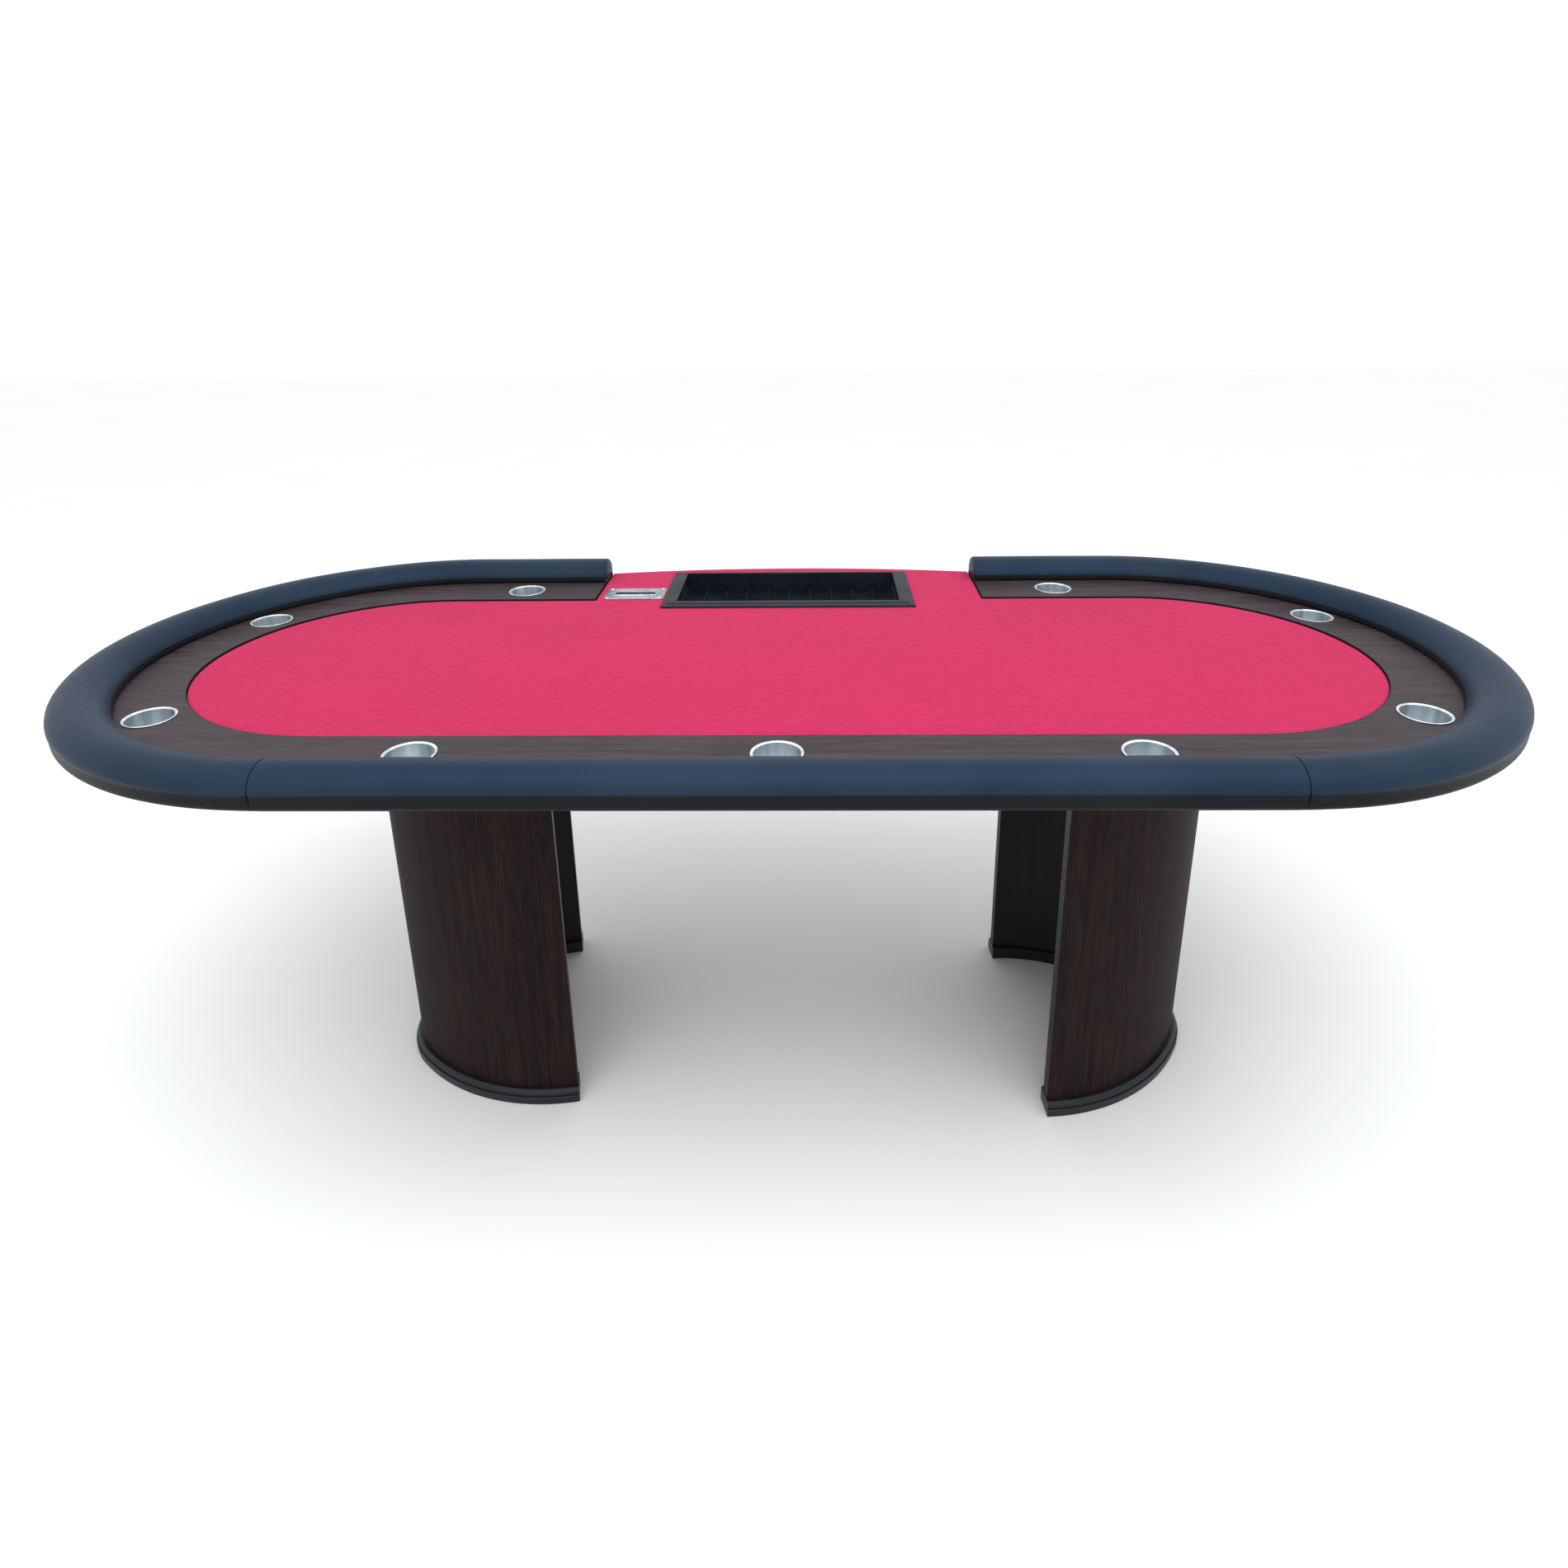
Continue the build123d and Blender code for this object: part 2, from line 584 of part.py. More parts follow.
# ---------------------------------------------------------------- legs
def half_moon(grow, extra):
    """Plan of one leg's outer line, moved out by grow and carried on straight by extra."""
    reach = LEG_FLANK - LEG_NOSE
    cx = -reach * cos(radians(LEG_TURN))
    cy = reach * sin(radians(LEG_TURN))
    end_y = LEG_FLANK + grow - cy
    nose = CenterArc((0, 0), LEG_NOSE + grow, -LEG_TURN, 2 * LEG_TURN)
    upper = CenterArc((cx, -cy), LEG_FLANK + grow, LEG_TURN, 90 - LEG_TURN)
    lower = CenterArc((cx, cy), LEG_FLANK + grow, -90, 90 - LEG_TURN)
    close = Polyline((cx, end_y), (cx - extra, end_y), (cx - extra, -end_y), (cx, -end_y))
    return make_face(nose.edges() + upper.edges() + lower.edges() + close.edges())


def band(outer, inner, extra):
    """Plan of a wall between two offsets of the leg's outer line."""
    return half_moon(outer, extra) - half_moon(inner, extra + 1)


def on_leg(name, shape):
    x, y, turn = LEGS[name]
    return Pos(x, y, 0) * Rot(0, 0, turn) * shape


def leg_end():
    """Local x of the two end faces, and the local y of their outer edges."""
    reach = LEG_FLANK - LEG_NOSE
    return -reach * cos(radians(LEG_TURN)), LEG_FLANK - reach * sin(radians(LEG_TURN))


def glide_places():
    """Local places of the five glides under one leg, along the middle of its panel."""
    middle = LEG_THICK / 2
    end_x, end_y = leg_end()
    places = [(LEG_NOSE - middle, 0.0)]
    for side in (-1, 1):
        places.append((end_x + 20.0, side * (end_y - middle - 0.6)))
        angle = radians(62.0)
        reach = LEG_FLANK - LEG_NOSE
        cy = reach * sin(radians(LEG_TURN))
        along = LEG_FLANK - middle
        places.append((end_x + along * cos(angle), side * (along * sin(angle) - cy)))
    return places


def plate_screws(name):
    """Places of the screws that hold one leg's top plate to the base board."""
    x, y, turn = LEGS[name]
    places = []
    for u, v in ((-150.0, -150.0), (-150.0, 0.0), (-150.0, 150.0), (-20.0, -110.0),
                 (-20.0, 110.0), (70.0, 0.0)):
        c = cos(radians(turn))
        s = sin(radians(turn))
        places.append((x + c * u - s * v, y + s * u + c * v))
    return places


def leg_panel():
    """Bent plywood half moon."""
    panel = slab(band(-VENEER, -LEG_THICK, TINY), FOOT_GAP, LEG_HEIGHT)
    for x, y in glide_places():
        panel -= rod(x, y, 0, GLIDE_H + 0.05, GLIDE_R * 0.6)
    return panel


def leg_veneer():
    return slab(band(0.0, -VENEER, TINY), FOOT_GAP, LEG_HEIGHT)


def leg_edge_bands():
    end_x, end_y = leg_end()
    bands = []
    for side in (-1, 1):
        y = sorted((side * end_y, side * (end_y - LEG_THICK)))
        bands.append(block(end_x - VENEER, end_x - 2 * TINY, y[0], y[1], FOOT_GAP, LEG_HEIGHT))
    return group(bands)


def curved_top(shape):
    """The three arcs round the top face of a half moon."""
    return shape.faces().sort_by(Axis.Z)[-1].edges().filter_by(GeomType.CIRCLE)


def leg_plinth():
    """Black skirting round the foot, stepped, with a bevelled top."""
    step = PLINTH_HEIGHT * 0.55
    low = slab(half_moon(PLINTH_OUT, PLINTH_WRAP), FOOT_GAP, step)
    low = chamfer(curved_top(low), 1.4)
    high = slab(half_moon(PLINTH_OUT - PLINTH_STEP, PLINTH_WRAP), step, PLINTH_HEIGHT)
    high = chamfer(curved_top(high), PLINTH_CHAMFER)
    solid = low + high
    solid -= slab(half_moon(-LEG_THICK - PLINTH_IN, PLINTH_WRAP + 5), 0, PLINTH_HEIGHT + 1)
    solid -= slab(band(0.0, -LEG_THICK, VENEER), 0, PLINTH_HEIGHT + 1)
    return solid


def leg_top_plate(name):
    plate = slab(half_moon(-LEG_THICK - 0.1, TINY), BOARD_BOTTOM - PLATE, BOARD_BOTTOM)
    plate = on_leg(name, plate)
    for x, y in plate_screws(name):
        plate -= rod(x, y, BOARD_BOTTOM - PLATE, BOARD_BOTTOM, SCREW_R + GAP)
    return plate


def leg_brackets():
    """Four steel angles that tie the panel to its top plate."""
    end_x, end_y = leg_end()
    reach = LEG_FLANK - LEG_THICK
    high = BOARD_BOTTOM - PLATE
    angles = []
    for x in (end_x + 8.0, end_x + 60.0):
        for side in (-1, 1):
            far = x + BRACKET - end_x
            y = side * (end_y - LEG_THICK - reach + (reach ** 2 - far ** 2) ** 0.5 - 0.1)
            wall = sorted((y, y - side * 2.0))
            foot = sorted((y, y - side * BRACKET))
            upright = block(x, x + BRACKET, wall[0], wall[1], high - BRACKET, high)
            flat = block(x, x + BRACKET, foot[0], foot[1], high - 2.0, high)
            angles.append(upright + flat)
    return group(angles)


def leg_screws(name):
    screws = []
    for x, y in plate_screws(name):
        low = BOARD_BOTTOM - PLATE
        head = rod(x, y, low - 2.4, low, 4.5)
        screws.append(head + rod(x, y, low, BOARD_BOTTOM + SCREW_BITE, SCREW_R))
    return group(screws)


def leg_glides():
    glides = []
    for x, y in glide_places():
        disc = rod(x, y, 0, FOOT_GAP, GLIDE_R * 0.8)
        glides.append(disc + rod(x, y, FOOT_GAP, GLIDE_H, GLIDE_R * 0.6 - 0.05))
    return group(glides)


def legs():
    for name in LEGS:
        save(f"{name}_leg_panel", on_leg(name, leg_panel()))
        save(f"{name}_leg_veneer", on_leg(name, leg_veneer()))
        save(f"{name}_leg_edge_bands", on_leg(name, leg_edge_bands()))
        save(f"{name}_leg_plinth", on_leg(name, leg_plinth()))
        save(f"{name}_leg_top_plate", leg_top_plate(name))
        save(f"{name}_leg_brackets", on_leg(name, leg_brackets()))
        save(f"{name}_leg_screws", leg_screws(name))
        save(f"{name}_leg_glides", on_leg(name, leg_glides()))


# ---------------------------------------------------------------- whole table
os.makedirs("parts", exist_ok=True)
save("base_board", base_board())
save("playfield_foam", playfield_foam())
save("playfield_felt", playfield_felt())
save("racetrack_panel", racetrack_panel())
save("racetrack_trim", racetrack_trim())
armrest_sections()
save("armrest_bolts", armrest_bolts())
save("armrest_tee_nuts", armrest_tee_nuts())
for number, (cup_x, cup_y) in enumerate(cup_places(), 1):
    save(f"cup_holder_{number}", cup_holder(cup_x, cup_y))
save("chip_tray", chip_tray())
save("drop_slot_plate", drop_slot_plate())
save("drop_slot_screws", drop_slot_screws())
save("drop_chute", drop_chute())
save("drop_box_rail_left", drop_box_rail(-1))
save("drop_box_rail_right", drop_box_rail(1))
save("drop_box_rail_screws", drop_box_rail_screws())
save("drop_box_body", drop_box_body())
save("drop_box_door", drop_box_door())
save("drop_box_hinge_pin", drop_box_hinge_pin())
save("drop_box_lock", drop_box_lock())
save("underframe_rail_front", underframe_rail(RAIL_FRONT_Y))
save("underframe_rail_rear", underframe_rail(RAIL_REAR_Y))
for name, bar_x in CROSSBARS.items():
    save(f"underframe_crossbar_{name}", crossbar(bar_x))
save("underframe_screws", underframe_screws())
legs()
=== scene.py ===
"""The looks of the ten-seat casino card table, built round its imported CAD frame.

The padded armrest, the felt, the foam under it and the nine cups are modelled here and stand for
the plain CAD solids. The other pieces are the CAD nodes themselves, with finished materials.
Everything is in metres, in the frame's own axes: X along the table, +Y to the dealer, Z up.
"""
import math

import bpy
import numpy as np
from mathutils import Matrix, Vector, geometry, noise


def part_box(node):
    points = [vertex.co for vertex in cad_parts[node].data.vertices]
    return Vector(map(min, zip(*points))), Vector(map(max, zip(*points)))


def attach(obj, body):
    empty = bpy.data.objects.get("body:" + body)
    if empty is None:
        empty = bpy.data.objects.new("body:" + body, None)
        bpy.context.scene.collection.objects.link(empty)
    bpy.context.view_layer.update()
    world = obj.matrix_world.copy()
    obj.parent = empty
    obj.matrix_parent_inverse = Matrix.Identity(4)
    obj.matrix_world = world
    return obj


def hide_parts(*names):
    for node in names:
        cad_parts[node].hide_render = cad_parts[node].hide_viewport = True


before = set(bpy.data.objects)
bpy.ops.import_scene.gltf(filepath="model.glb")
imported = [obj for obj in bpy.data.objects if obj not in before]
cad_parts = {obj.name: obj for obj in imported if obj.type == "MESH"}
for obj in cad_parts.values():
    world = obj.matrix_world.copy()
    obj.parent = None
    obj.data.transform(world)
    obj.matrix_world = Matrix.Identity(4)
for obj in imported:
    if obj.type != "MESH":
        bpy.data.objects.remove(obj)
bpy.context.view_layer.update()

# ---------------------------------------------------------------- sizes read from the frame
MM = 0.001
SEAM_GAP = 0.3 * MM                  # half the gap between two armrest sections
left_low, left_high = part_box("armrest_cover_left")
front_low, front_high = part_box("armrest_cover_front")
felt_low, felt_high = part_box("playfield_felt")
foam_low, foam_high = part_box("playfield_foam")
tray_low, tray_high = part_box("chip_tray")
chute_low, chute_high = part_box("drop_chute")
CENTRE_Y = (left_low.y + left_high.y) / 2
END_RADIUS = (left_high.y - left_low.y) / 2
END_X = front_high.x + SEAM_GAP      # centres of the round ends, to left and right
ARMREST_WIDTH = front_high.y - front_low.y
DEALER_HALF = -left_high.x           # half the dealer's opening
PAD_BOTTOM = front_low.z
PAD_CREST = front_high.z
PLAY_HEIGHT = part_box("racetrack_panel")[1].z
FELT_RADIUS = CENTRE_Y - felt_low.y
FELT_X = felt_high.x - FELT_RADIUS
DEALER_BOW = felt_high.y - left_high.y   # how far the dealer's edge bows out

# ---------------------------------------------------------------- sizes of the armrest
PAD_CREST_IN = 40 * MM               # crest of the armrest, in from its outer face
PAD_SHOULDER = 13 * MM               # where its outer face starts to turn over, above the racetrack
PAD_HEEL = 4 * MM                    # where its inner face starts, above the racetrack
PAD_LIP = 24 * MM                    # how far in the skirt reaches under the racetrack's edge
PAD_FOOT_RADIUS = 3.5 * MM           # at the foot of the inner face
PAD_CORNER_RADIUS = 1.5 * MM         # where the underside meets the skirt's inner face
PAD_HEM_RADIUS = 2.5 * MM            # on the skirt's lower inner edge
PAD_SKIRT_RADIUS = 8 * MM            # on the skirt's lower outer edge
SKIRT_BACK = 1.2 * MM                # the skirt lies behind the crown's edge
SKIRT_EASE = 0.8                     # fall of the step between them, halfway, to its depth
SKIRT_TIGHTNESS = 0.35               # share of a turned end's inset that the skirt follows
TIGHT_FROM = 2 * MM                  # the cover follows all of it from here, above the racetrack
PAD_STEP = 9 * MM                    # between two cross-sections
PAD_WAVE = 0.45 * MM                 # unevenness of the stuffing
PAD_WAVE_SCALE = (7, 30, 9)          # waves to the metre: over the table, inwards, upwards
REST_CLEAR = 0.3 * MM                # between the armrest and the racetrack
SEAM_RADIUS = 2.2 * MM               # of the turned ends at a seam
END_CAP_RADIUS = 7 * MM              # of the turned ends at the dealer's opening
FIRST_END_POINTS = 6                 # cross-sections round a section's first and last ends
LAST_END_POINTS = 9
END_CAP_CROWN = 2.5 * MM             # how far the ends at the opening swell
END_CAP_ROUND = 12 * MM              # in from the rim, where the swelling is full
END_CAP_FULLNESS = 0.6               # power of the swelling's rise: below 1, steep at the rim
END_CAP_STEP = 5 * MM                # mesh size over a cut end

# ---------------------------------------------------------------- sizes of the playing field
FELT = felt_high.z - foam_high.z     # thickness of the cloth
FELT_SOLID = 0.9 * FELT              # drawn thickness, so that the cloth keeps off the foam
FELT_STEP = 22 * MM                  # mesh size over the field
FELT_EDGE_STEP = 11 * MM             # mesh size along its edge
FELT_ROLL = [(0.0, 3.0), (0.4, 1.9), (1.2, 0.9), (2.4, 0.25), (4.5, 0.0)]   # mm in, mm down
FELT_LIP_STEPS = (7, 12, 16)         # mm below the felt's top, on the dealer's edge
FELT_SLACK = 0.2 * MM                # unevenness of the stretched cloth
FELT_SLACK_SCALE = 9                 # waves to the metre
FELT_SLACK_SLICE = 0.3               # the slice of the noise that is used
DEALER_CLEAR = 1.6 * MM              # between the felt and the armrest's ends
DEALER_POINTS = 60                   # along the bowed edge
FOAM_IN = 0.2 * MM                   # the foam's edge lies inside the felt's turned edge
FOAM_DOWN = 0.15 * MM                # the foam's top lies below the felt
TRAY_BODY_SIDES = 26 * MM            # the tray's body, in from its flange's sides
TRAY_BODY_FRONT = 30 * MM
TRAY_BODY_BACK = 12 * MM
TRAY_CLEAR = 1.5 * MM                # round the chip tray's body
CHUTE_CLEAR = 0.4 * MM               # round the drop chute
HOLE_STEP = 15 * MM                  # mesh size along a hole's edge

# ---------------------------------------------------------------- flat meshing
SHARPEST_MITRE = 0.5                 # cosine of half the sharpest turn that offset() follows
GRID_CLEAR = 0.55                    # grid steps kept free beside an edge
WELD = 1e-7                          # points nearer than this are one


# ---------------------------------------------------------------- flat geometry
def arc(cx, cy, rx, ry, start, end, count):
    """Points of an elliptical arc, with its angles in degrees."""
    angles = np.radians(np.linspace(start, end, count))
    return [(cx + rx * math.cos(a), cy + ry * math.sin(a)) for a in angles]


def line(start, end, step):
    """Points along a straight line, without its last one."""
    count = max(1, round(math.dist(start, end) / step))
    first, way = np.array(start), np.array(end) - np.array(start)
    return [tuple(first + way * n / count) for n in range(count)]


def offset(polygon, distance):
    """A counter-clockwise polygon moved inwards."""
    points = np.array(polygon, float)
    before = points - np.roll(points, 1, 0)
    after = np.roll(points, -1, 0) - points
    normals = []
    for step in (before, after):
        unit = step / np.linalg.norm(step, axis=1)[:, None]
        normals.append(np.column_stack([-unit[:, 1], unit[:, 0]]))
    middle = normals[0] + normals[1]
    middle /= np.linalg.norm(middle, axis=1)[:, None]
    stretch = np.clip((middle * normals[0]).sum(1), SHARPEST_MITRE, 1)
    return points + middle * (distance / stretch)[:, None]


def inside(points, polygon):
    """Which points lie in a polygon."""
    x, y = points[:, 0], points[:, 1]
    found = np.zeros(len(points), bool)
    for (ax, ay), (bx, by) in zip(polygon, np.roll(polygon, -1, 0)):
        if ay != by:
            crosses = (ay > y) != (by > y)
            found ^= crosses & (x < (bx - ax) * (y - ay) / (by - ay) + ax)
    return found


def distance_to(points, polygon):
    """How far each point is from a polygon's edge."""
    best = np.full(len(points), np.inf)
    for a, b in zip(np.array(polygon), np.roll(polygon, -1, 0)):
        along = b - a
        t = np.clip(((points - a) @ along) / (along @ along), 0, 1)
        best = np.minimum(best, np.linalg.norm(points - a - t[:, None] * along, axis=1))
    return best


def fill(outline, holes, step):
    """Triangles over a flat region: the corners, the triangles, how many corners are on edges.

    The outline's points come first, then the holes', then those of a grid between them.
    """
    loops = [np.array(outline), *[np.array(hole) for hole in holes]]
    low, high = loops[0].min(0), loops[0].max(0)
    grid = np.stack(np.meshgrid(np.arange(low[0] + step / 2, high[0], step),
                                np.arange(low[1] + step / 2, high[1], step)), -1).reshape(-1, 2)
    grid[:, 0] += (np.round((grid[:, 1] - low[1]) / step) % 2) * step / 2
    keep = inside(grid, loops[0])
    for loop in loops:
        keep &= distance_to(grid, loop) > GRID_CLEAR * step
    for hole in loops[1:]:
        keep &= ~inside(grid, hole)
    points = np.concatenate([*loops, grid[keep]])
    edges, start = [], 0
    for loop in loops:
        edges += [(start + n, start + (n + 1) % len(loop)) for n in range(len(loop))]
        start += len(loop)
    found = geometry.delaunay_2d_cdt([Vector(p) for p in points], edges, [], 0, WELD)
    corners = np.array([tuple(p) for p in found[0]])
    triangles = np.array([f for f in found[2] if len(f) == 3])
    middles = corners[triangles].mean(1)
    good = inside(middles, loops[0])
    for hole in loops[1:]:
        good &= ~inside(middles, hole)
    return corners, triangles[good].tolist(), start


# ---------------------------------------------------------------- pieces
def piece(name, points, faces, material, body):
    """A mesh piece that rides on a body."""
    mesh = bpy.data.meshes.new(name)
    mesh.from_pydata([tuple(map(float, p)) for p in points], [], faces)
    mesh.validate()
    mesh.polygons.foreach_set("use_smooth", [True] * len(mesh.polygons))
    mesh.materials.append(material)
    made = bpy.data.objects.new(name, mesh)
    bpy.context.scene.collection.objects.link(made)
    bpy.context.view_layer.objects.active = made
    bpy.ops.object.mode_set(mode="EDIT")
    bpy.ops.mesh.select_all(action="SELECT")
    bpy.ops.mesh.normals_make_consistent(inside=False)
    bpy.ops.object.mode_set(mode="OBJECT")
    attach(made, body)
    return made


def ring_faces(first, second, count):
    """Quads between two closed rings of points."""
    faces = []
    for n in range(count):
        after = (n + 1) % count
        faces.append((first + n, first + after, second + after, second + n))
    return faces


# ---------------------------------------------------------------- armrest
def pad_profile():
    """The armrest's cross-section: (distance in from the outer face, height)."""
    shoulder = PLAY_HEIGHT + PAD_SHOULDER
    heel = PLAY_HEIGHT + PAD_HEEL
    under = PLAY_HEIGHT + REST_CLEAR
    inner = ARMREST_WIDTH - PAD_CREST_IN
    foot = ARMREST_WIDTH - PAD_FOOT_RADIUS
    corner = PAD_CORNER_RADIUS
    hem, hem_in = PAD_HEM_RADIUS, PAD_LIP - PAD_HEM_RADIUS
    skirt, skirt_in = PAD_SKIRT_RADIUS, SKIRT_BACK + PAD_SKIRT_RADIUS
    skirt_low, skirt_high = PAD_BOTTOM + skirt, shoulder - SKIRT_BACK
    points = arc(PAD_CREST_IN, shoulder, PAD_CREST_IN, PAD_CREST - shoulder, 180, 90, count=18)
    points += arc(PAD_CREST_IN, heel, inner, PAD_CREST - heel, 90, 0, count=20)[1:]
    points += arc(foot, heel, PAD_FOOT_RADIUS, heel - under, 0, -90, count=6)[1:]
    points += line((foot, under), (PAD_LIP, under), step=8 * MM)[1:]
    points += arc(PAD_LIP + corner, under - corner, corner, corner, 90, 180, count=4)
    points += arc(hem_in, PAD_BOTTOM + hem, hem, hem, 0, -90, count=5)
    points += line((hem_in, PAD_BOTTOM), (skirt_in, PAD_BOTTOM), step=5 * MM)[1:]
    points += arc(skirt_in, skirt_low, skirt, skirt, 270, 180, count=7)
    points += line((SKIRT_BACK, skirt_low), (SKIRT_BACK, skirt_high), step=4 * MM)[1:]
    points += [(SKIRT_BACK / 2, shoulder - SKIRT_BACK * SKIRT_EASE)]
    return np.array(points)


def inward_normals(profile):
    """Unit normals into a clockwise cross-section."""
    along = np.roll(profile, -1, 0) - np.roll(profile, 1, 0)
    along /= np.linalg.norm(along, axis=1)[:, None]
    return np.column_stack([along[:, 1], -along[:, 0]])


def front_line():
    """The outer edge of the front section: its length, and its place and outward normal."""
    reach = END_X - SEAM_GAP

    def at(s):
        return Vector((-reach + s, CENTRE_Y - END_RADIUS)), Vector((0, -1))
    return 2 * reach, at


def side_line(side):
    """The outer edge of one end section, from its front seam round to the dealer's opening."""
    half_turn = math.pi * END_RADIUS

    def at(s):
        s += SEAM_GAP
        if s < half_turn:
            angle = s / END_RADIUS - math.pi / 2
            out = Vector((side * math.cos(angle), math.sin(angle)))
            return Vector((side * END_X, CENTRE_Y)) + out * END_RADIUS, out
        x = END_X - (s - half_turn)
        return Vector((side * x, CENTRE_Y + END_RADIUS)), Vector((0, 1))
    return half_turn + END_X - DEALER_HALF - SEAM_GAP, at


def rounded_end(radius, count):
    """(distance from the end, inset) round a cover's turned edge, from the end inwards."""
    angles = np.radians(np.linspace(90, 0, count))
    return [(radius * (1 - math.sin(a)), radius * (1 - math.cos(a))) for a in angles]


def pad_stations(length, last_radius):
    """(place along the section, inset) of each cross-section, from a seam onwards."""
    stations = rounded_end(SEAM_RADIUS, FIRST_END_POINTS)
    free = length - SEAM_RADIUS - last_radius
    count = round(free / PAD_STEP)
    stations += [(SEAM_RADIUS + free * n / count, 0.0) for n in range(1, count)]
    last = rounded_end(last_radius, LAST_END_POINTS)
    return stations + [(length - s, inset) for s, inset in reversed(last)]


def armrest_pad(name, edge, last_radius, last_crown):
    """One padded section, with its stuffing's slight unevenness and turned ends."""
    length, at = edge
    profile = pad_profile()
    inwards = inward_normals(profile)
    softness = np.clip((profile[:, 1] - PLAY_HEIGHT) / (PAD_CREST - PLAY_HEIGHT), 0, 1)
    tightness = np.where(profile[:, 1] > PLAY_HEIGHT + TIGHT_FROM, 1.0, SKIRT_TIGHTNESS)
    stations = pad_stations(length, last_radius)
    over, inward, upward = PAD_WAVE_SCALE
    points, faces = [], []
    for s, inset in stations:
        place, out = at(s)
        for (u, z), (nu, nz), soft, tight in zip(profile, inwards, softness, tightness):
            wave = noise.noise(Vector((place.x * over, place.y * over, u * inward + z * upward)))
            move = inset * tight - soft * PAD_WAVE * wave
            spot = place - out * (u + nu * move)
            points.append((spot.x, spot.y, z + nz * move))
    count = len(profile)
    for n in range(len(stations) - 1):
        faces += ring_faces(n * count, (n + 1) * count, count)
    for end, direction, crown in ((0, -1, 0.0), (len(stations) - 1, 1, last_crown)):
        s, inset = stations[end]
        outline = profile + inwards * (inset * tightness)[:, None]
        place, out = at(s)
        ahead = (at(s + MM)[0] - at(s - MM)[0]).normalized() * direction
        close_pad(points, faces, end * count, outline, place, out, ahead * crown)
    return piece(name, points, faces, vinyl, "table")


def close_pad(points, faces, start, outline, place, out, crown):
    """Cover the cut end of a section, swelling by crown where it shows."""
    flat = outline[::-1]
    corners, triangles, edge_count = fill(flat, [], END_CAP_STEP)
    away = distance_to(corners, flat)
    index = []
    for n, (u, z) in enumerate(corners):
        if n < edge_count:
            index.append(start + edge_count - 1 - n)
            continue
        swell = min(1.0, away[n] / END_CAP_ROUND) ** END_CAP_FULLNESS
        spot = place - out * u + crown * swell
        index.append(len(points))
        points.append((spot.x, spot.y, z))
    faces += [tuple(index[n] for n in t) for t in triangles]


def armrest():
    """The three padded sections of the armrest."""
    sections = {
        "front": (front_line(), SEAM_RADIUS, 0.0),
        "left": (side_line(-1), END_CAP_RADIUS, END_CAP_CROWN),
        "right": (side_line(1), END_CAP_RADIUS, END_CAP_CROWN),
    }
    for name, section in sections.items():
        pad = armrest_pad(f"armrest_pad_{name}", *section)
        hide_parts(f"armrest_cover_{name}", f"armrest_foam_{name}")


# ---------------------------------------------------------------- playing field
def field_outline():
    """The felt's edge from above, counter-clockwise, and which of its points are the dealer's."""
    step = FELT_EDGE_STEP
    half = DEALER_HALF - DEALER_CLEAR
    bow_radius = (DEALER_HALF ** 2 + DEALER_BOW ** 2) / (2 * DEALER_BOW)
    bow_centre = felt_high.y - bow_radius
    reach = math.degrees(math.asin(half / bow_radius))
    bow_end = bow_centre + bow_radius * math.cos(math.radians(reach))
    far, near = CENTRE_Y + FELT_RADIUS, CENTRE_Y - FELT_RADIUS
    end_count = round(math.pi * FELT_RADIUS / step)
    points = line((-FELT_X, near), (FELT_X, near), 2 * step)
    points += arc(FELT_X, CENTRE_Y, FELT_RADIUS, FELT_RADIUS, -90, 90, end_count)
    points += line((FELT_X, far), (half, far), 2 * step)[1:]
    points += line((half, far), (half, bow_end), step)
    first = len(points)
    points += arc(0, bow_centre, bow_radius, bow_radius, 90 - reach, 90 + reach, DEALER_POINTS)
    last = len(points)
    points += line((-half, bow_end), (-half, far), step)[1:]
    points += line((-half, far), (-FELT_X, far), 2 * step)
    points += arc(-FELT_X, CENTRE_Y, FELT_RADIUS, FELT_RADIUS, 90, 270, end_count)[:-1]
    return np.array(points), range(first, last)


def hole(low, high, clear):
    """A rectangular hole, counter-clockwise."""
    x0, x1, y0, y1 = low.x - clear, high.x + clear, low.y - clear, high.y + clear
    corners = [(x0, y0), (x1, y0), (x1, y1), (x0, y1)]
    points = []
    for start, end in zip(corners, corners[1:] + corners[:1]):
        points += line(start, end, HOLE_STEP)
    return points


def field_holes():
    """The holes under the chip tray's body and round the drop chute."""
    body_low = tray_low + Vector((TRAY_BODY_SIDES, TRAY_BODY_FRONT, 0))
    body_high = tray_high - Vector((TRAY_BODY_SIDES, TRAY_BODY_BACK, 0))
    return [hole(body_low, body_high, TRAY_CLEAR), hole(chute_low, chute_high, CHUTE_CLEAR)]


def rolled_sheet(outline, holes, top, roll, points, faces):
    """A flat cloth or foam surface whose outer edge rolls down. Returns the outer ring's start."""
    count = len(outline)
    starts = []
    for inset, drop in roll:
        starts.append(len(points))
        ring = offset(outline, inset * MM)
        points.extend((x, y, top - drop * MM) for x, y in ring)
    for lower, upper in zip(starts, starts[1:]):
        faces += ring_faces(lower, upper, count)
    corners, triangles, _ = fill(offset(outline, roll[-1][0] * MM), holes, FELT_STEP)
    index = []
    for n, (x, y) in enumerate(corners):
        if n < count:
            index.append(starts[-1] + n)
            continue
        spot = Vector((x * FELT_SLACK_SCALE, y * FELT_SLACK_SCALE, FELT_SLACK_SLICE))
        index.append(len(points))
        points.append((x, y, top - FELT_SLACK * (0.5 + 0.5 * noise.noise(spot))))
    faces += [tuple(index[n] for n in t) for t in triangles]
    return starts[0]


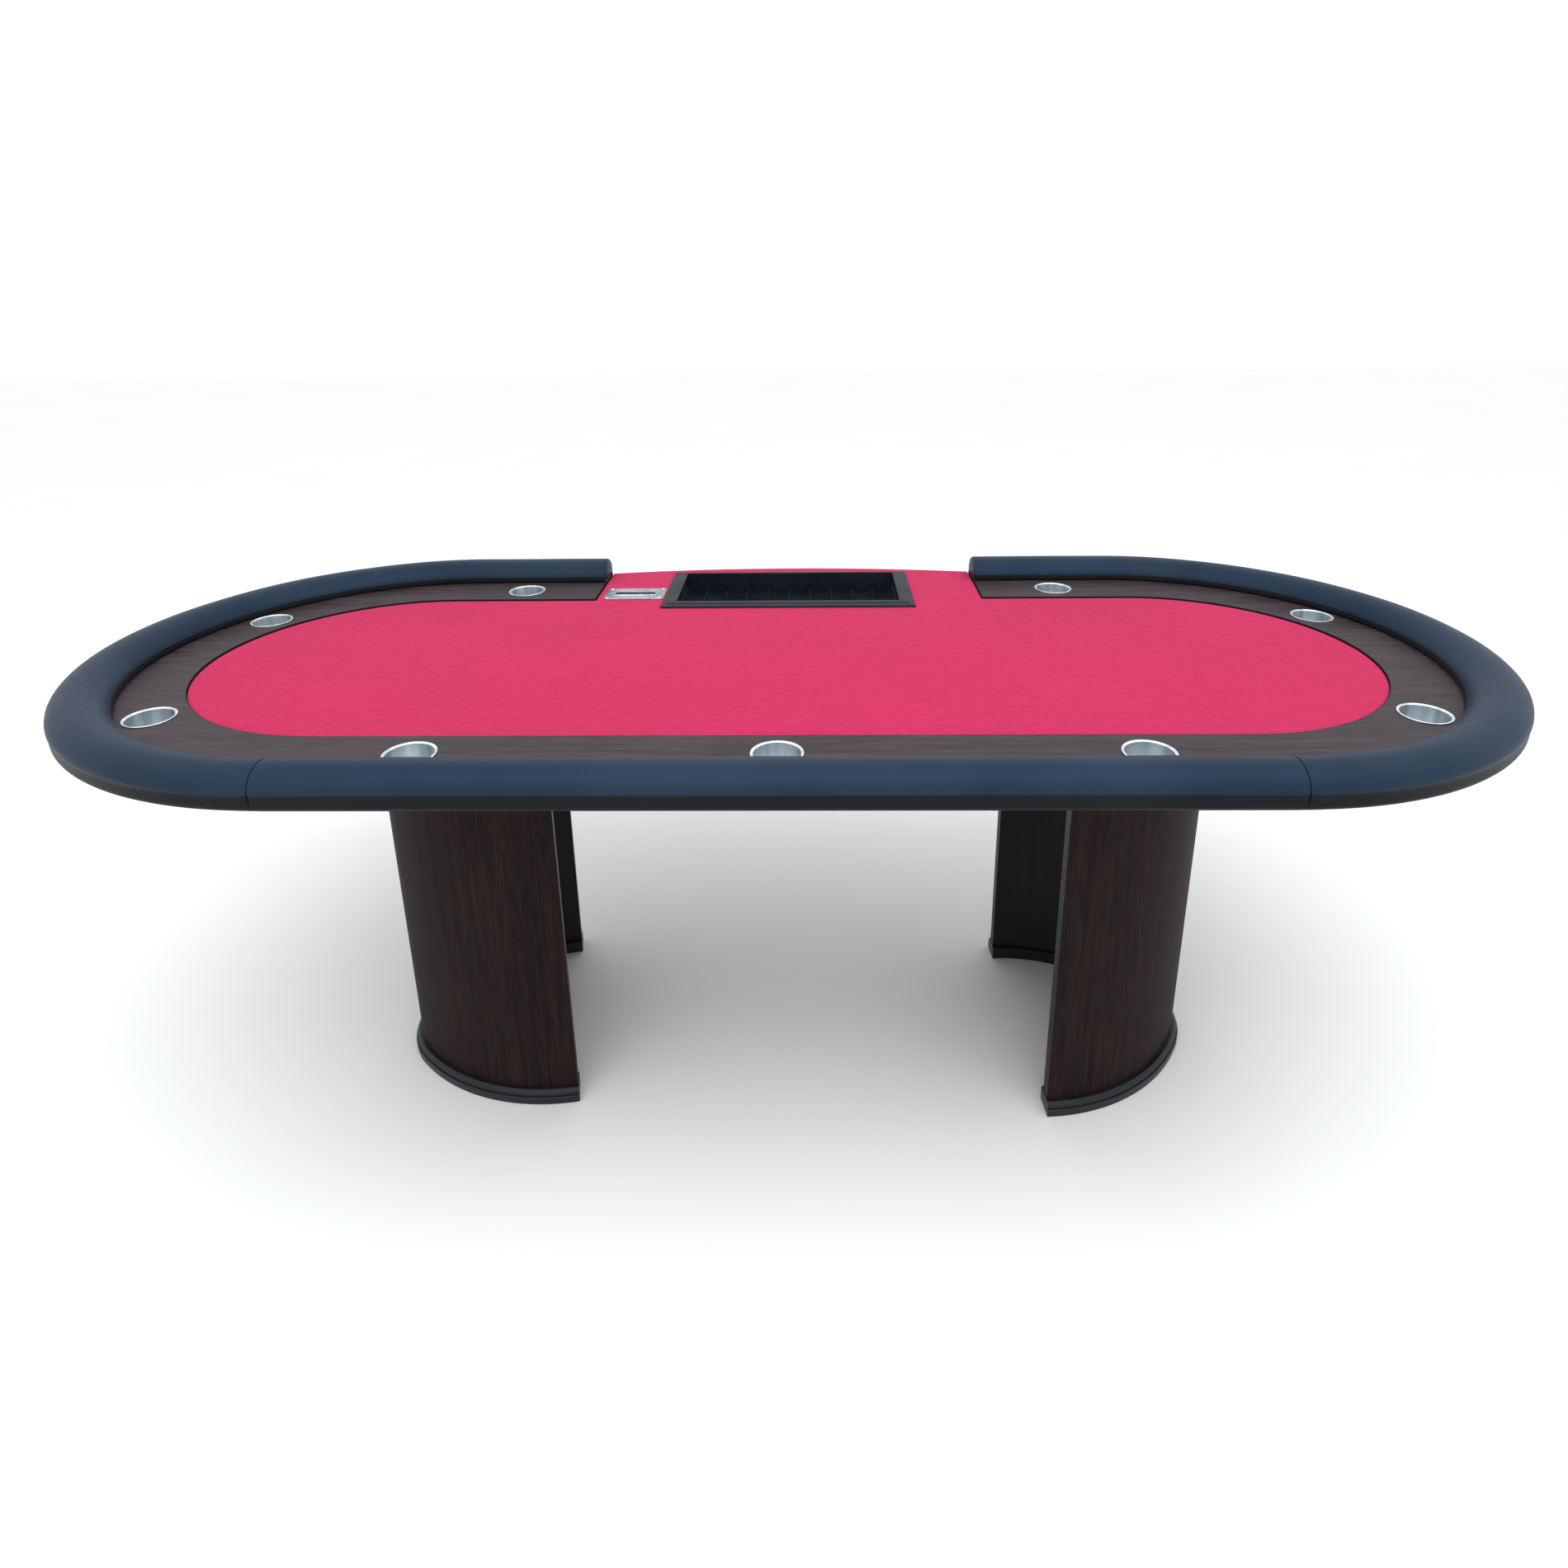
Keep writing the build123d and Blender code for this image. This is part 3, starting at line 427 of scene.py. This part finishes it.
def felt_sheet():
    """The felt: stretched flat, tucked down beside the racetrack, turned over the dealer's edge."""
    outline, dealer = field_outline()
    holes = field_holes()
    points, faces = [], []
    edge = rolled_sheet(outline, holes, felt_high.z, FELT_ROLL, points, faces)
    above = [edge + n for n in dealer]
    for drop in (*[d * MM for d in FELT_LIP_STEPS], felt_high.z - felt_low.z):
        below = []
        for n in dealer:
            below.append(len(points))
            points.append((outline[n][0], outline[n][1], felt_high.z - drop))
        faces += [(a, b, d, c) for a, b, c, d in zip(above, above[1:], below, below[1:])]
        above = below
    felt = piece("playing_felt", points, faces, felt_cloth, "table")
    thickness = felt.modifiers.new("thickness", "SOLIDIFY")
    thickness.thickness = FELT_SOLID
    thickness.offset = -1
    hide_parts("playfield_felt")


def foam_sheet():
    """The thin foam under the felt."""
    outline = offset(field_outline()[0], FELT + FOAM_IN)
    points, faces = [], []
    edge = rolled_sheet(outline, field_holes(), foam_high.z - FOAM_DOWN, FELT_ROLL, points, faces)
    under = len(points)
    points.extend((x, y, foam_low.z) for x, y in outline)
    faces += ring_faces(edge, under, len(outline))
    foam = piece("playing_field_foam", points, faces, foam_rubber, "table")
    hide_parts("playfield_foam")


# ---------------------------------------------------------------- cup holders
CUP_COUNT = 9
CUP_BODY_SHARE = 35.2 / 38.9         # body radius to flange radius
CUP_WALL = 0.8 * MM
CUP_BASE_RADIUS = 5.0 * MM
CUP_DISH = 0.6 * MM                  # how far the middle of the base is raised
CUP_DISH_TOP = 0.55                  # shares of the radius, where that dish ends and starts
CUP_DISH_FOOT = 0.62
CUP_FLANGE = 1.5 * MM                # thickness of the flange
CUP_RIM_RADIUS = 0.75 * MM
CUP_RIM_IN = 0.9 * MM                # where the flange's underside meets its rim
CUP_NECK = 0.4 * MM                  # width and height of the bevel under the flange
CUP_NECK_DROP = 1.0 * MM
CUP_MOUTH_DROP = 0.1 * MM            # the flange slopes down this far to the mouth
CUP_MOUTH_FLAT = 0.5 * MM            # and ends this far outside the shoulder
CUP_SHOULDER = 2.4 * MM              # radius where the mouth turns into the wall
CUP_SIDES = 96


def cup_profile(flange, depth):
    """(radius, height) from the middle of the base's underside round the rim to its inside."""
    body = flange * CUP_BODY_SHARE
    inner = body - CUP_WALL
    rest = depth - CUP_FLANGE
    mouth = depth - CUP_MOUTH_DROP
    base, rim, shoulder = CUP_BASE_RADIUS, CUP_RIM_RADIUS, CUP_SHOULDER
    points = [(0, CUP_DISH), (body * CUP_DISH_TOP, CUP_DISH), (body * CUP_DISH_FOOT, 0)]
    points += arc(body - base, base, base, base, -90, 0, count=7)
    points += [(body, depth * 0.5), (body, rest - CUP_NECK_DROP), (body + CUP_NECK, rest)]
    points += [(flange - CUP_RIM_IN, rest)]
    points += arc(flange - rim, depth - rim, rim, rim, -90, 90, count=9)
    points += [(inner + shoulder + CUP_MOUTH_FLAT, mouth)]
    points += arc(inner + shoulder, mouth - shoulder, shoulder, shoulder, 90, 180, count=8)
    points += [(inner, depth * 0.62), (inner, depth * 0.3)]
    points += arc(inner - base, base + CUP_WALL, base, base, 0, -90, count=7)
    raised = CUP_WALL + CUP_DISH
    points += [(inner * CUP_DISH_FOOT, CUP_WALL), (inner * CUP_DISH_TOP, raised), (0, raised)]
    return points


def lathe(profile, x, y, z):
    """Turn a profile about an upright axis. Its two ends lie on the axis."""
    points = [(x, y, z + profile[0][1])]
    faces = []
    for radius, height in profile[1:-1]:
        for n in range(CUP_SIDES):
            angle = 2 * math.pi * n / CUP_SIDES
            points.append((x + radius * math.cos(angle), y + radius * math.sin(angle), z + height))
    points.append((x, y, z + profile[-1][1]))
    rings = len(profile) - 2
    for ring in range(rings - 1):
        faces += ring_faces(1 + ring * CUP_SIDES, 1 + (ring + 1) * CUP_SIDES, CUP_SIDES)
    last = 1 + (rings - 1) * CUP_SIDES
    for n in range(CUP_SIDES):
        after = (n + 1) % CUP_SIDES
        faces.append((0, 1 + after, 1 + n))
        faces.append((len(points) - 1, last + n, last + after))
    return points, faces


def cup_holders():
    """Nine spun steel cups."""
    for number in range(1, CUP_COUNT + 1):
        low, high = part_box(f"cup_holder_{number}")
        middle = (low + high) / 2
        profile = cup_profile((high.x - low.x) / 2, high.z - low.z)
        points, faces = lathe(profile, middle.x, middle.y, low.z)
        cup = piece(f"steel_cup_{number}", points, faces, brushed_steel_finish, f"cup_{number}")
        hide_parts(f"cup_holder_{number}")


# ---------------------------------------------------------------- materials
class Finish:
    """A node material under construction."""

    def __init__(self, name, **values):
        self.material = bpy.data.materials.new(name)
        self.material.use_nodes = True
        tree = self.material.node_tree
        self.nodes, self.links = tree.nodes, tree.links
        self.shader = self.nodes["Principled BSDF"]
        for socket, value in values.items():
            self.shader.inputs[socket.replace("_", " ")].default_value = value
        self.place = self.nodes.new("ShaderNodeTexCoord").outputs["Object"]

    def scaled(self, scale):
        """The place on the piece, stretched along each axis."""
        node = self.nodes.new("ShaderNodeMapping")
        node.inputs["Scale"].default_value = scale
        self.links.new(self.place, node.inputs["Vector"])
        return node.outputs["Vector"]

    def clouds(self, scale, detail=4.0, roughness=0.55, distortion=0.0):
        """Noise from 0 to 1, with a scale along each axis."""
        node = self.nodes.new("ShaderNodeTexNoise")
        node.inputs["Scale"].default_value = 1.0
        node.inputs["Detail"].default_value = detail
        node.inputs["Roughness"].default_value = roughness
        node.inputs["Distortion"].default_value = distortion
        self.links.new(self.scaled(scale), node.inputs["Vector"])
        return node.outputs["Fac"]

    def cells(self, scale):
        """Distance to the nearest of scattered points."""
        node = self.nodes.new("ShaderNodeTexVoronoi")
        node.inputs["Scale"].default_value = 1.0
        self.links.new(self.scaled(scale), node.inputs["Vector"])
        return node.outputs["Distance"]

    def height(self):
        """Height above the floor, on a piece drawn where it stands."""
        node = self.nodes.new("ShaderNodeSeparateXYZ")
        self.links.new(self.place, node.inputs["Vector"])
        return node.outputs["Z"]

    def ramp(self, factor, *stops):
        """A colour for each value of factor; each stop is (place, red, green, blue)."""
        node = self.nodes.new("ShaderNodeValToRGB")
        elements = node.color_ramp.elements
        while len(elements) < len(stops):
            elements.new(0.5)
        for element, (at, *colour) in zip(elements, stops):
            element.position = at
            element.color = (*colour, 1)
        self.links.new(factor, node.inputs["Fac"])
        return node.outputs["Color"]

    def levels(self, factor, low, high, to_low=0.0, to_high=1.0):
        """factor mapped from one range to another."""
        node = self.nodes.new("ShaderNodeMapRange")
        node.inputs["From Min"].default_value = low
        node.inputs["From Max"].default_value = high
        node.inputs["To Min"].default_value = to_low
        node.inputs["To Max"].default_value = to_high
        self.links.new(factor, node.inputs["Value"])
        return node.outputs["Result"]

    def feed(self, socket, value):
        """Give a socket a plain number or another node's output."""
        if isinstance(value, float):
            socket.default_value = value
        else:
            self.links.new(value, socket)

    def mix(self, factor, first, second, how="MIX"):
        """Two colours mixed by factor."""
        node = self.nodes.new("ShaderNodeMix")
        node.data_type = "RGBA"
        node.blend_type = how
        self.feed(node.inputs["Factor"], factor)
        self.links.new(first, node.inputs["A"])
        self.links.new(second, node.inputs["B"])
        return node.outputs["Result"]

    def shade(self, colour, shading):
        """A colour multiplied by another."""
        return self.mix(1.0, colour, shading, "MULTIPLY")

    def combine(self, first, second, how="ADD"):
        """Two values added or otherwise combined."""
        node = self.nodes.new("ShaderNodeMath")
        node.operation = how
        self.feed(node.inputs[0], first)
        self.feed(node.inputs[1], second)
        return node.outputs["Value"]

    def bump(self, height, distance, strength):
        """Relief of that height in metres."""
        node = self.nodes.new("ShaderNodeBump")
        node.inputs["Distance"].default_value = distance
        node.inputs["Strength"].default_value = strength
        self.links.new(height, node.inputs["Height"])
        self.links.new(node.outputs["Normal"], self.shader.inputs["Normal"])

    def to(self, socket, output):
        """Feed one of the shader's own sockets."""
        self.links.new(output, self.shader.inputs[socket])

    def paint(self, factor, *stops):
        """The surface's colour for each value of factor."""
        self.to("Base Color", self.ramp(factor, *stops))

    def rough(self, clouds, low, high):
        """The surface's roughness, over the range that noise mostly keeps to."""
        self.to("Roughness", self.levels(clouds, 0.2, 0.8, low, high))


def along(axis, lengthwise, across):
    """Scales for grain that runs along one axis."""
    return tuple(lengthwise if n == axis else across for n in "xyz")


def dark_wood(name, axis, dark, brown, red, roughness, specular):
    """Dark woodgrain laminate: broad figure, fine pores and sparse reddish streaks."""
    finish = Finish(name, Specular_IOR_Level=specular)
    figure = finish.clouds(along(axis, 5.5, 95), 5.0, 0.66, 0.5)
    pores = finish.clouds(along(axis, 22.0, 620), 3.0, 0.6)
    streaks = finish.clouds(along(axis, 5.0, 190), 3.0, 0.55, 0.3)
    patches = finish.clouds(along(axis, 3.5, 9.0), 3.0, 0.6)
    base = finish.ramp(figure, (0.30, *dark), (0.52, *brown), (0.75, *red))
    streak = finish.levels(streaks, 0.56, 0.70, 0.0, 0.75)
    rich = finish.ramp(patches, (0.35, *brown), (0.65, *red))
    lit = finish.mix(streak, base, rich)
    grain = finish.ramp(pores, (0.35, 0.55, 0.53, 0.53), (0.60, 1.0, 1.0, 1.0))
    finish.to("Base Color", finish.shade(lit, grain))
    finish.rough(figure, roughness - 0.06, roughness + 0.08)
    finish.bump(pores, 0.06 * MM, 0.5)
    return finish.material


def racetrack_wood():
    """The racetrack's veneer, its grain along the table."""
    return dark_wood("racetrack_wood", "x", (0.020, 0.015, 0.018), (0.042, 0.030, 0.036),
                     (0.084, 0.050, 0.058), 0.48, 0.20)


def leg_wood():
    """The legs' veneer, its grain upright."""
    return dark_wood("leg_wood", "z", (0.0085, 0.0055, 0.006), (0.020, 0.0115, 0.0115),
                     (0.046, 0.0145, 0.0155), 0.54, 0.06)


def black_vinyl():
    """Upholstery vinyl with a fine pebbled grain; a painted reflection makes the crown blue,
    painted shade the skirt black.
    """
    finish = Finish("black_vinyl", Specular_IOR_Level=0.10, Specular_Tint=(0.50, 0.74, 1.0, 1))
    grain = finish.cells((900, 900, 900))
    folds = finish.clouds((260, 260, 260), 3.0)
    broad = finish.clouds((5, 5, 5), 2.0)
    # painted reflection: the crown's colour is bluer and lighter, as if lit by the light above
    crown = finish.ramp(broad, (0.3, 0.0135, 0.0245, 0.044), (0.7, 0.0185, 0.0320, 0.056))
    skirt = finish.ramp(broad, (0.3, 0.0085, 0.0085, 0.009), (0.7, 0.0115, 0.0115, 0.012))
    # painted shade: below the shoulder's edge the colour turns to the darker skirt, as if the
    # upright side got less light
    edge = PLAY_HEIGHT + PAD_SHOULDER
    above = finish.levels(finish.height(), edge - 0.8 * MM, edge + 0.4 * MM)
    finish.to("Base Color", finish.mix(above, skirt, crown))
    finish.rough(folds, 0.36, 0.50)
    finish.bump(finish.combine(grain, folds), 0.10 * MM, 0.45)
    return finish.material


def red_felt():
    """Brushed cloth with short flecks across the table."""
    finish = Finish("red_felt", Roughness=0.92, Specular_IOR_Level=0.15, Sheen_Weight=0.12,
                    Sheen_Roughness=0.4, Sheen_Tint=(1.0, 0.55, 0.70, 1))
    nap = finish.clouds((2200, 2200, 2200), 2.0, 0.7)
    flecks = finish.clouds((55, 190, 190), 4.0, 0.6, 0.6)
    broad = finish.clouds((4, 6, 6), 3.0)
    base = finish.ramp(flecks, (0.30, 0.46, 0.015, 0.076), (0.70, 0.555, 0.023, 0.099))
    shade = finish.ramp(broad, (0.3, 0.93, 0.93, 0.93), (0.7, 1.0, 1.0, 1.0))
    fibre = finish.ramp(nap, (0.25, 0.86, 0.86, 0.86), (0.75, 1.0, 1.0, 1.0))
    finish.to("Base Color", finish.shade(finish.shade(base, shade), fibre))
    relief = finish.combine(nap, finish.combine(flecks, 2.0, "MULTIPLY"))
    finish.bump(relief, 0.12 * MM, 0.5)
    return finish.material


def seat_foam():
    """Cream upholstery foam."""
    finish = Finish("seat_foam", Roughness=0.95, Specular_IOR_Level=0.2)
    pores = finish.cells((700, 700, 700))
    finish.paint(pores, (0.1, 0.50, 0.43, 0.25), (0.6, 0.80, 0.73, 0.50))
    finish.bump(pores, 0.5 * MM, 0.6)
    return finish.material


def birch_plywood():
    """Birch plywood, painted black below the base board's top face."""
    finish = Finish("birch_plywood", Specular_IOR_Level=0.3)
    figure = finish.clouds((1.6, 26, 26), 4.0, 0.6, 0.5)
    pores = finish.clouds((9, 320, 320), 3.0)
    plies = finish.clouds((1.5, 1.5, 640), 0.0)
    paint = finish.clouds((5, 5, 3), 3.0)
    face = finish.ramp(figure, (0.3, 0.50, 0.35, 0.20), (0.7, 0.72, 0.55, 0.36))
    band = finish.ramp(plies, (0.42, 0.62, 0.52, 0.42), (0.56, 1.0, 1.0, 1.0))
    bare = finish.shade(face, band)
    black = finish.ramp(paint, (0.3, 0.007, 0.007, 0.007), (0.7, 0.011, 0.010, 0.010))
    above = finish.levels(finish.height(), foam_low.z - 0.4 * MM, foam_low.z - 0.2 * MM)
    finish.to("Base Color", finish.mix(above, black, bare))
    finish.rough(pores, 0.50, 0.66)
    finish.bump(pores, 0.08 * MM, 0.5)
    return finish.material


def pine(axis):
    """Sawn pine, its grain along one axis."""
    finish = Finish(f"pine_along_{axis}", Specular_IOR_Level=0.3)
    rings = finish.clouds(along(axis, 0.9, 70), 2.0, 0.5, 0.8)
    pores = finish.clouds(along(axis, 12, 500), 3.0)
    finish.paint(rings, (0.35, 0.74, 0.55, 0.32), (0.55, 0.66, 0.44, 0.22),
                 (0.66, 0.50, 0.29, 0.12))
    finish.rough(pores, 0.55, 0.72)
    finish.bump(finish.combine(rings, pores), 0.12 * MM, 0.5)
    return finish.material


def brushed_steel():
    """Spun steel: fine rings, highlights drawn out across them, and upright bands of painted
    reflection in its colour.
    """
    finish = Finish("brushed_steel", Metallic=1.0, Anisotropic=0.6)
    rings = finish.clouds((25, 25, 2600), 3.0, 0.7)
    painted_reflection_bands = finish.clouds((48, 48, 2), 1.0)
    tangent = finish.nodes.new("ShaderNodeTangent")
    tangent.direction_type = "RADIAL"
    tangent.axis = "Z"
    finish.to("Tangent", tangent.outputs["Tangent"])
    # painted reflection: upright light and dark bands in the steel's colour, round the cups' walls
    finish.paint(painted_reflection_bands, (0.38, 0.60, 0.66, 0.70), (0.60, 0.94, 0.98, 1.0))
    finish.rough(rings, 0.30, 0.42)
    finish.bump(rings, 0.02 * MM, 0.35)
    return finish.material


def slot_steel():
    """Plated steel, dulled and scuffed along its slot."""
    finish = Finish("slot_steel", Metallic=1.0)
    scuffs = finish.clouds((30, 420, 420), 3.0, 0.6)
    dull = finish.clouds((55, 90, 90), 3.0)
    finish.paint(dull, (0.35, 0.24, 0.26, 0.31), (0.65, 0.52, 0.54, 0.60))
    finish.rough(scuffs, 0.22, 0.40)
    finish.bump(scuffs, 0.02 * MM, 0.35)
    return finish.material


def bright_steel():
    """Polished steel of the hinge pin and the lock."""
    finish = Finish("bright_steel", Metallic=1.0)
    scuffs = finish.clouds((90, 700, 90), 3.0)
    finish.paint(scuffs, (0.3, 0.70, 0.72, 0.74), (0.7, 0.82, 0.83, 0.85))
    finish.rough(scuffs, 0.12, 0.24)
    finish.bump(scuffs, 0.01 * MM, 0.3)
    return finish.material


def zinc_steel():
    """Zinc-plated steel of the brackets, screws and bolts."""
    finish = Finish("zinc_steel", Metallic=1.0)
    spangle = finish.cells((160, 160, 160))
    dull = finish.clouds((60, 60, 60), 3.0)
    finish.paint(spangle, (0.1, 0.50, 0.51, 0.50), (0.7, 0.64, 0.65, 0.64))
    finish.rough(dull, 0.30, 0.48)
    finish.bump(dull, 0.04 * MM, 0.3)
    return finish.material


def black_sheet_steel():
    """Powder-coated sheet."""
    finish = Finish("black_sheet_steel", Specular_IOR_Level=0.45)
    peel = finish.clouds((520, 520, 520), 2.0)
    broad = finish.clouds((12, 12, 12), 3.0)
    finish.paint(broad, (0.3, 0.012, 0.012, 0.013), (0.7, 0.020, 0.020, 0.022))
    finish.rough(peel, 0.42, 0.58)
    finish.bump(peel, 0.10 * MM, 0.4)
    return finish.material


def tray_plastic():
    """Moulded plastic with a fine spark-eroded grain."""
    finish = Finish("tray_plastic", Specular_IOR_Level=0.16, Specular_Tint=(0.70, 0.85, 1.0, 1))
    grain = finish.clouds((1500, 1500, 1500), 2.0, 0.6)
    rubbed = finish.clouds((14, 22, 14), 3.0)
    finish.paint(rubbed, (0.3, 0.0060, 0.0075, 0.0110), (0.7, 0.0105, 0.0130, 0.0190))
    finish.rough(rubbed, 0.36, 0.52)
    finish.bump(grain, 0.05 * MM, 0.4)
    return finish.material


def black_plinth():
    """Satin black skirting."""
    finish = Finish("black_plinth", Specular_IOR_Level=0.3)
    peel = finish.clouds((300, 300, 300), 2.0)
    scuffs = finish.clouds((8, 8, 60), 4.0, 0.6)
    finish.paint(scuffs, (0.3, 0.007, 0.0085, 0.011), (0.7, 0.013, 0.016, 0.020))
    finish.rough(scuffs, 0.30, 0.46)
    finish.bump(peel, 0.06 * MM, 0.35)
    return finish.material


def black_edge():
    """Thin plastic edge band."""
    finish = Finish("black_edge", Specular_IOR_Level=0.15)
    ribs = finish.clouds((140, 140, 140), 3.0)
    finish.paint(ribs, (0.3, 0.006, 0.005, 0.006), (0.7, 0.011, 0.010, 0.011))
    finish.rough(ribs, 0.36, 0.50)
    finish.bump(ribs, 0.04 * MM, 0.3)
    return finish.material


def black_paint():
    """Brushed black paint over bent plywood."""
    finish = Finish("black_paint", Specular_IOR_Level=0.35)
    strokes = finish.clouds((240, 240, 6), 4.0, 0.6)
    broad = finish.clouds((5, 5, 3), 3.0)
    finish.paint(broad, (0.3, 0.0055, 0.005, 0.005), (0.7, 0.0095, 0.009, 0.009))
    finish.rough(strokes, 0.55, 0.75)
    finish.bump(strokes, 0.10 * MM, 0.4)
    return finish.material


def glide_plastic():
    """Worn pale plastic."""
    finish = Finish("glide_plastic", Specular_IOR_Level=0.4)
    worn = finish.clouds((120, 120, 120), 4.0)
    finish.paint(worn, (0.3, 0.42, 0.41, 0.38), (0.7, 0.62, 0.61, 0.58))
    finish.rough(worn, 0.40, 0.60)
    finish.bump(worn, 0.05 * MM, 0.3)
    return finish.material


def finish_cad_nodes():
    """Give every CAD node a finish of its own, or that of its recorded slot."""
    finishes = {
        "birch_plywood": birch_plywood(),
        "racetrack_wood": racetrack_wood(),
        "black_edge": black_edge(),
        "zinc_steel": zinc_steel(),
        "brushed_steel": brushed_steel_finish,
        "bright_steel": bright_steel(),
        "tray_plastic": tray_plastic(),
        "black_sheet_steel": black_sheet_steel(),
        "pine": pine("x"),
        "black_paint": black_paint(),
        "leg_wood": leg_wood(),
        "black_plinth": black_plinth(),
        "glide_plastic": glide_plastic(),
        "seat_foam": foam_rubber,
        "red_felt": felt_cloth,
        "black_vinyl": vinyl,
    }
    crosswise = pine("y")
    own = {f"underframe_crossbar_{place}": crosswise for place in ("left", "middle", "right")}
    own["drop_slot_plate"] = slot_steel()
    for name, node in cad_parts.items():
        slot = node.material_slots[0]
        recorded = slot.material.name.split(".")[0]
        slot.link = "OBJECT"
        slot.material = own.get(name, finishes[recorded])


# ---------------------------------------------------------------- studio
CAMERA_PLACE = (0.0525, -1.6798, 1.4083)
CAMERA_YAW, CAMERA_PITCH, CAMERA_ROLL = -0.0196, 0.3149, 0.0112   # radians, as fitted to the photo
CAMERA_SENSOR, CAMERA_LENS = 36, 22.644   # mm
CAMERA_SHIFT = (-0.0067, -0.1178)
BACKDROP = (0.97, 0.985, 1.0, 1)
BACKDROP_STRENGTH = 1.05
FLOOR_HALF = 14.0


def camera():
    """The photo's viewpoint: in front of the table's middle, looking a little down on it."""
    flat = math.cos(CAMERA_PITCH)
    ahead = Vector((math.sin(CAMERA_YAW) * flat, math.cos(CAMERA_YAW) * flat,
                    -math.sin(CAMERA_PITCH)))
    right = Vector((math.cos(CAMERA_YAW), -math.sin(CAMERA_YAW), 0))
    down = ahead.cross(right)
    across = right * math.cos(CAMERA_ROLL) + down * math.sin(CAMERA_ROLL)
    under = down * math.cos(CAMERA_ROLL) - right * math.sin(CAMERA_ROLL)
    turn = Matrix((across, -under, -ahead)).transposed().to_4x4()
    data = bpy.data.cameras.new("camera")
    data.sensor_width = CAMERA_SENSOR
    data.lens = CAMERA_LENS
    data.shift_x, data.shift_y = CAMERA_SHIFT
    made = bpy.data.objects.new("camera", data)
    made.matrix_world = Matrix.Translation(CAMERA_PLACE) @ turn
    bpy.context.scene.collection.objects.link(made)
    bpy.context.scene.camera = made


def softbox(name, place, aim, size, power, colour):
    """A large rectangular light turned towards a point."""
    data = bpy.data.lights.new(name, "AREA")
    data.shape = "RECTANGLE"
    data.size, data.size_y = size
    data.energy = power
    data.color = colour
    made = bpy.data.objects.new(name, data)
    made.location = place
    made.rotation_euler = (Vector(aim) - Vector(place)).to_track_quat("-Z", "Y").to_euler()
    bpy.context.scene.collection.objects.link(made)


def studio():
    """A pale floor and backdrop light, with one broad light overhead."""
    world = bpy.data.worlds.new("studio")
    world.use_nodes = True
    background = world.node_tree.nodes["Background"]
    background.inputs["Color"].default_value = BACKDROP
    background.inputs["Strength"].default_value = BACKDROP_STRENGTH
    bpy.context.scene.world = world
    softbox("overhead", place=(0.2, -1.3, 3.6), aim=(0, -0.1, 0.75), size=(5.0, 2.4), power=90,
            colour=(0.95, 0.98, 1.0))
    half = FLOOR_HALF
    mesh = bpy.data.meshes.new("floor")
    mesh.from_pydata([(-half, -half, 0), (half, -half, 0), (half, half, 0), (-half, half, 0)], [],
                     [(0, 1, 2, 3)])
    finish = Finish("pale_floor", Roughness=0.9, Specular_IOR_Level=0.1)
    tone = finish.clouds((1.5, 1.5, 1.5), 2.0)
    finish.paint(tone, (0.2, 0.93, 0.93, 0.93), (0.8, 0.96, 0.96, 0.96))
    mesh.materials.append(finish.material)
    floor = bpy.data.objects.new("floor", mesh)
    bpy.context.scene.collection.objects.link(floor)
    bpy.context.scene.view_settings.view_transform = "Standard"


# ---------------------------------------------------------------- build
vinyl = black_vinyl()
felt_cloth = red_felt()
foam_rubber = seat_foam()
brushed_steel_finish = brushed_steel()
camera()
studio()
finish_cad_nodes()
armrest()
foam_sheet()
felt_sheet()
cup_holders()
